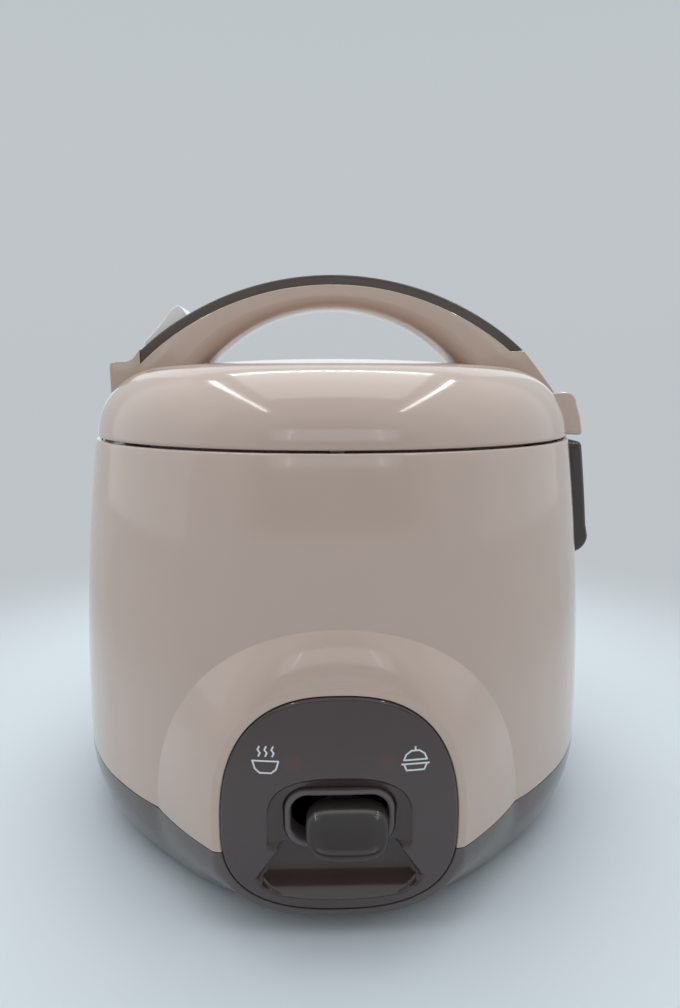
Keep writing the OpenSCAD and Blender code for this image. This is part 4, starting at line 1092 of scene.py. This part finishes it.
def make_panel():
    panel_mat = make_panel_material()
    angles = ring_spokes()
    shares = [k / 60 for k in range(61)]
    verts = []
    for angle in angles:
        x0, z0 = window_edge(angle, BEZEL_W + 0.15 * MM)
        x1, z1 = panel_edge(angle, -0.05 * MM, WINDOW_Z)
        reach = math.hypot(x1 - x0, z1 - z0)
        verts.append((x0, drum_y(x0, z0) + 7 * MM, z0))
        verts.append((x0, drum_y(x0, z0) + face_depth(x0, z0) + 0.5 * MM, z0))
        for share in shares:
            x, z = mix(x0, x1, share), mix(z0, z1, share)
            inner = 0.35 * MM * (1 - smooth(share * reach / (0.5 * MM)))
            outer = 0.4 * MM * (1 - smooth((1 - share) * reach / (0.6 * MM)))
            verts.append((x, drum_y(x, z) + face_depth(x, z) + inner + outer, z))
        verts.append((x1, drum_y(x1, z1) + 1.2 * MM, z1))
        verts.append((x1, drum_y(x1, z1) + 4.4 * MM, z1))
    cols = len(verts) // len(angles)
    faces = []
    n = len(angles)
    for i in range(n):
        j = (i + 1) % n
        for c in range(cols - 1):
            faces.append((i * cols + c, j * cols + c, j * cols + c + 1, i * cols + c + 1))
    panel = mesh_object("panel_skin", verts, faces, panel_mat, weld=1e-7)
    # mask of the painted shade: how deep each point of the face lies in the dish or the scoop
    recess_shade = panel.data.attributes.new("recess_shade", "FLOAT", "POINT")
    for v in panel.data.vertices:
        recess_shade.data[v.index].value = smooth(face_depth(v.co.x, v.co.z) / (0.9 * MM))
    place(panel, "base", "control_panel", slot="brown_gloss")

    front = -120.3 * MM
    rows = [(BEZEL_W, 3.5), (BEZEL_W, 0.6), (BEZEL_W - 0.15 * MM, 0.2), (BEZEL_W - 0.5 * MM, 0.0),
            (0.75 * MM, 0.0), (0.3 * MM, 0.15), (0.05 * MM, 0.55), (0.0, 1.2), (0.0, 7.5)]
    verts = []
    for angle in angles:
        for grow, back in rows:
            x, z = window_edge(angle, grow)
            verts.append((x, front + (drum_y(x, z) - drum_y(0, z)) + back * MM, z))
    cols = len(rows)
    faces = [(i * cols + c, ((i + 1) % n) * cols + c, ((i + 1) % n) * cols + c + 1, i * cols + c + 1)
             for i in range(n) for c in range(cols - 1)]
    bezel = mesh_object("bezel_skin", verts, faces, finish["bezel"], weld=1e-7)
    place(bezel, "base", "window_bezel", slot="brown_gloss")


def make_paddle():
    """The lever's paddle: a pebble-like bar whose section shrinks smoothly towards both ends."""
    middle = 2.4 * MM
    half = 13.4 * MM
    section = [(-114.0, 48.9), (-118.5, 48.6), (-121.8, 47.2), (-124.2, 44.9), (-126.3, 42.3), (-128.3, 39.8),
               (-129.7, 37.9), (-130.0, 36.6), (-129.4, 35.5), (-128.0, 35.1), (-126.0, 36.0), (-123.6, 39.4),
               (-119.8, 43.0), (-114.0, 44.4)]
    centre = (-121.5, 42.6)
    ends = [math.sin(math.radians(a)) for a in range(-90, 91, 6)]
    verts = []
    for e in ends:
        size = (1 - abs(e) ** 3.6) ** 0.36 if abs(e) < 1 else 0.0
        for y, z in section:
            y, z = mix(y, centre[0], 1 - size), mix(z, centre[1], 1 - size)
            verts.append((middle + half * e, y * MM, z * MM))
    faces = grid_faces(len(ends), len(section), closed_cols=True)
    paddle = mesh_object("paddle_skin", verts, faces, finish["paddle"], weld=1e-6, levels=2)
    place(paddle, "lever", "lever_paddle", slot="brown_gloss")


# the printed signs, in millimetres
SIGN_SCALE = 1.3
SIGN_Z = 63.2
STROKE_STEP, STROKE_HALF, STROKE_OVERRUN = 0.8, 0.27, 0.18


def short_steps(line):
    """The strokes of a line cut into short ones, so that they follow the curved face."""
    for (xa, za), (xb, zb) in zip(line, line[1:]):
        count = max(1, round(math.hypot(xb - xa, zb - za) / STROKE_STEP))
        for k in range(count):
            yield ((mix(xa, xb, k / count), mix(za, zb, k / count)),
                   (mix(xa, xb, (k + 1) / count), mix(za, zb, (k + 1) / count)))


def make_marks():
    """Two small printed signs in place of the labels: a steaming bowl and a covered dish."""
    strokes = {
        "cook": [[(-3.2, 0.6), (3.2, 0.6), (2.6, -1.4), (1.4, -2.4), (-1.4, -2.4), (-2.6, -1.4), (-3.2, 0.6)],
                 [(-1.7, 1.8), (-1.3, 2.6), (-1.9, 3.4), (-1.5, 4.2)],
                 [(0, 1.8), (0.4, 2.6), (-0.2, 3.4), (0.2, 4.2)],
                 [(1.7, 1.8), (2.1, 2.6), (1.5, 3.4), (1.9, 4.2)]],
        "warm": [[(-3.4, -0.6), (3.4, -0.6)], [(-2.9, -0.6), (-2.2, -2.2), (2.2, -2.2), (2.9, -0.6)],
                 [(-2.9, 0.4), (-2.3, 1.8), (-1.0, 2.7), (1.0, 2.7), (2.3, 1.8), (2.9, 0.4), (-2.9, 0.4)],
                 [(0, 2.7), (0, 3.6)]],
    }
    for name, x_mid in (("cook", -23.6 * MM), ("warm", 24.2 * MM)):
        verts, faces = [], []
        for line in strokes[name]:
            for (xa, za), (xb, zb) in short_steps([(x * SIGN_SCALE, z * SIGN_SCALE) for x, z in line]):
                run = Vector((xb - xa, zb - za))
                side = Vector((-run.y, run.x)).normalized() * STROKE_HALF
                over = run.normalized() * STROKE_OVERRUN
                xa, za, xb, zb = xa - over.x, za - over.y, xb + over.x, zb + over.y
                corners = [(xa + side.x, za + side.y), (xb + side.x, zb + side.y),
                           (xb - side.x, zb - side.y), (xa - side.x, za - side.y)]
                start = len(verts)
                for x, z in corners:
                    px, pz = x_mid + x * MM, (SIGN_Z + z) * MM
                    verts.append((px, drum_y(px, pz) - 0.04 * MM, pz))
                faces.append((start, start + 3, start + 2, start + 1))
        mark = mesh_object(name + "_mark", verts, faces, finish["print"])
        place(mark, "base", slot="brown_gloss")


finish["bezel"] = surface("bezel_satin", (0.12, 0.10, 0.098), rough=0.3, vary=0.04, rough_vary=0.04,
                          grain=0.1)
finish["paddle"] = surface("paddle_gloss", (0.034, 0.026, 0.025), rough=0.22, vary=0.05,
                           rough_vary=0.04, coat=0.2, grain=0.04)
finish["print"] = surface("white_print", (0.80, 0.82, 0.84), rough=0.5, vary=0.03, vary_scale=600, grain=0.1)

make_body()
make_base()
make_lid()
make_handle()
make_cup()
make_panel()
make_paddle()
make_marks()
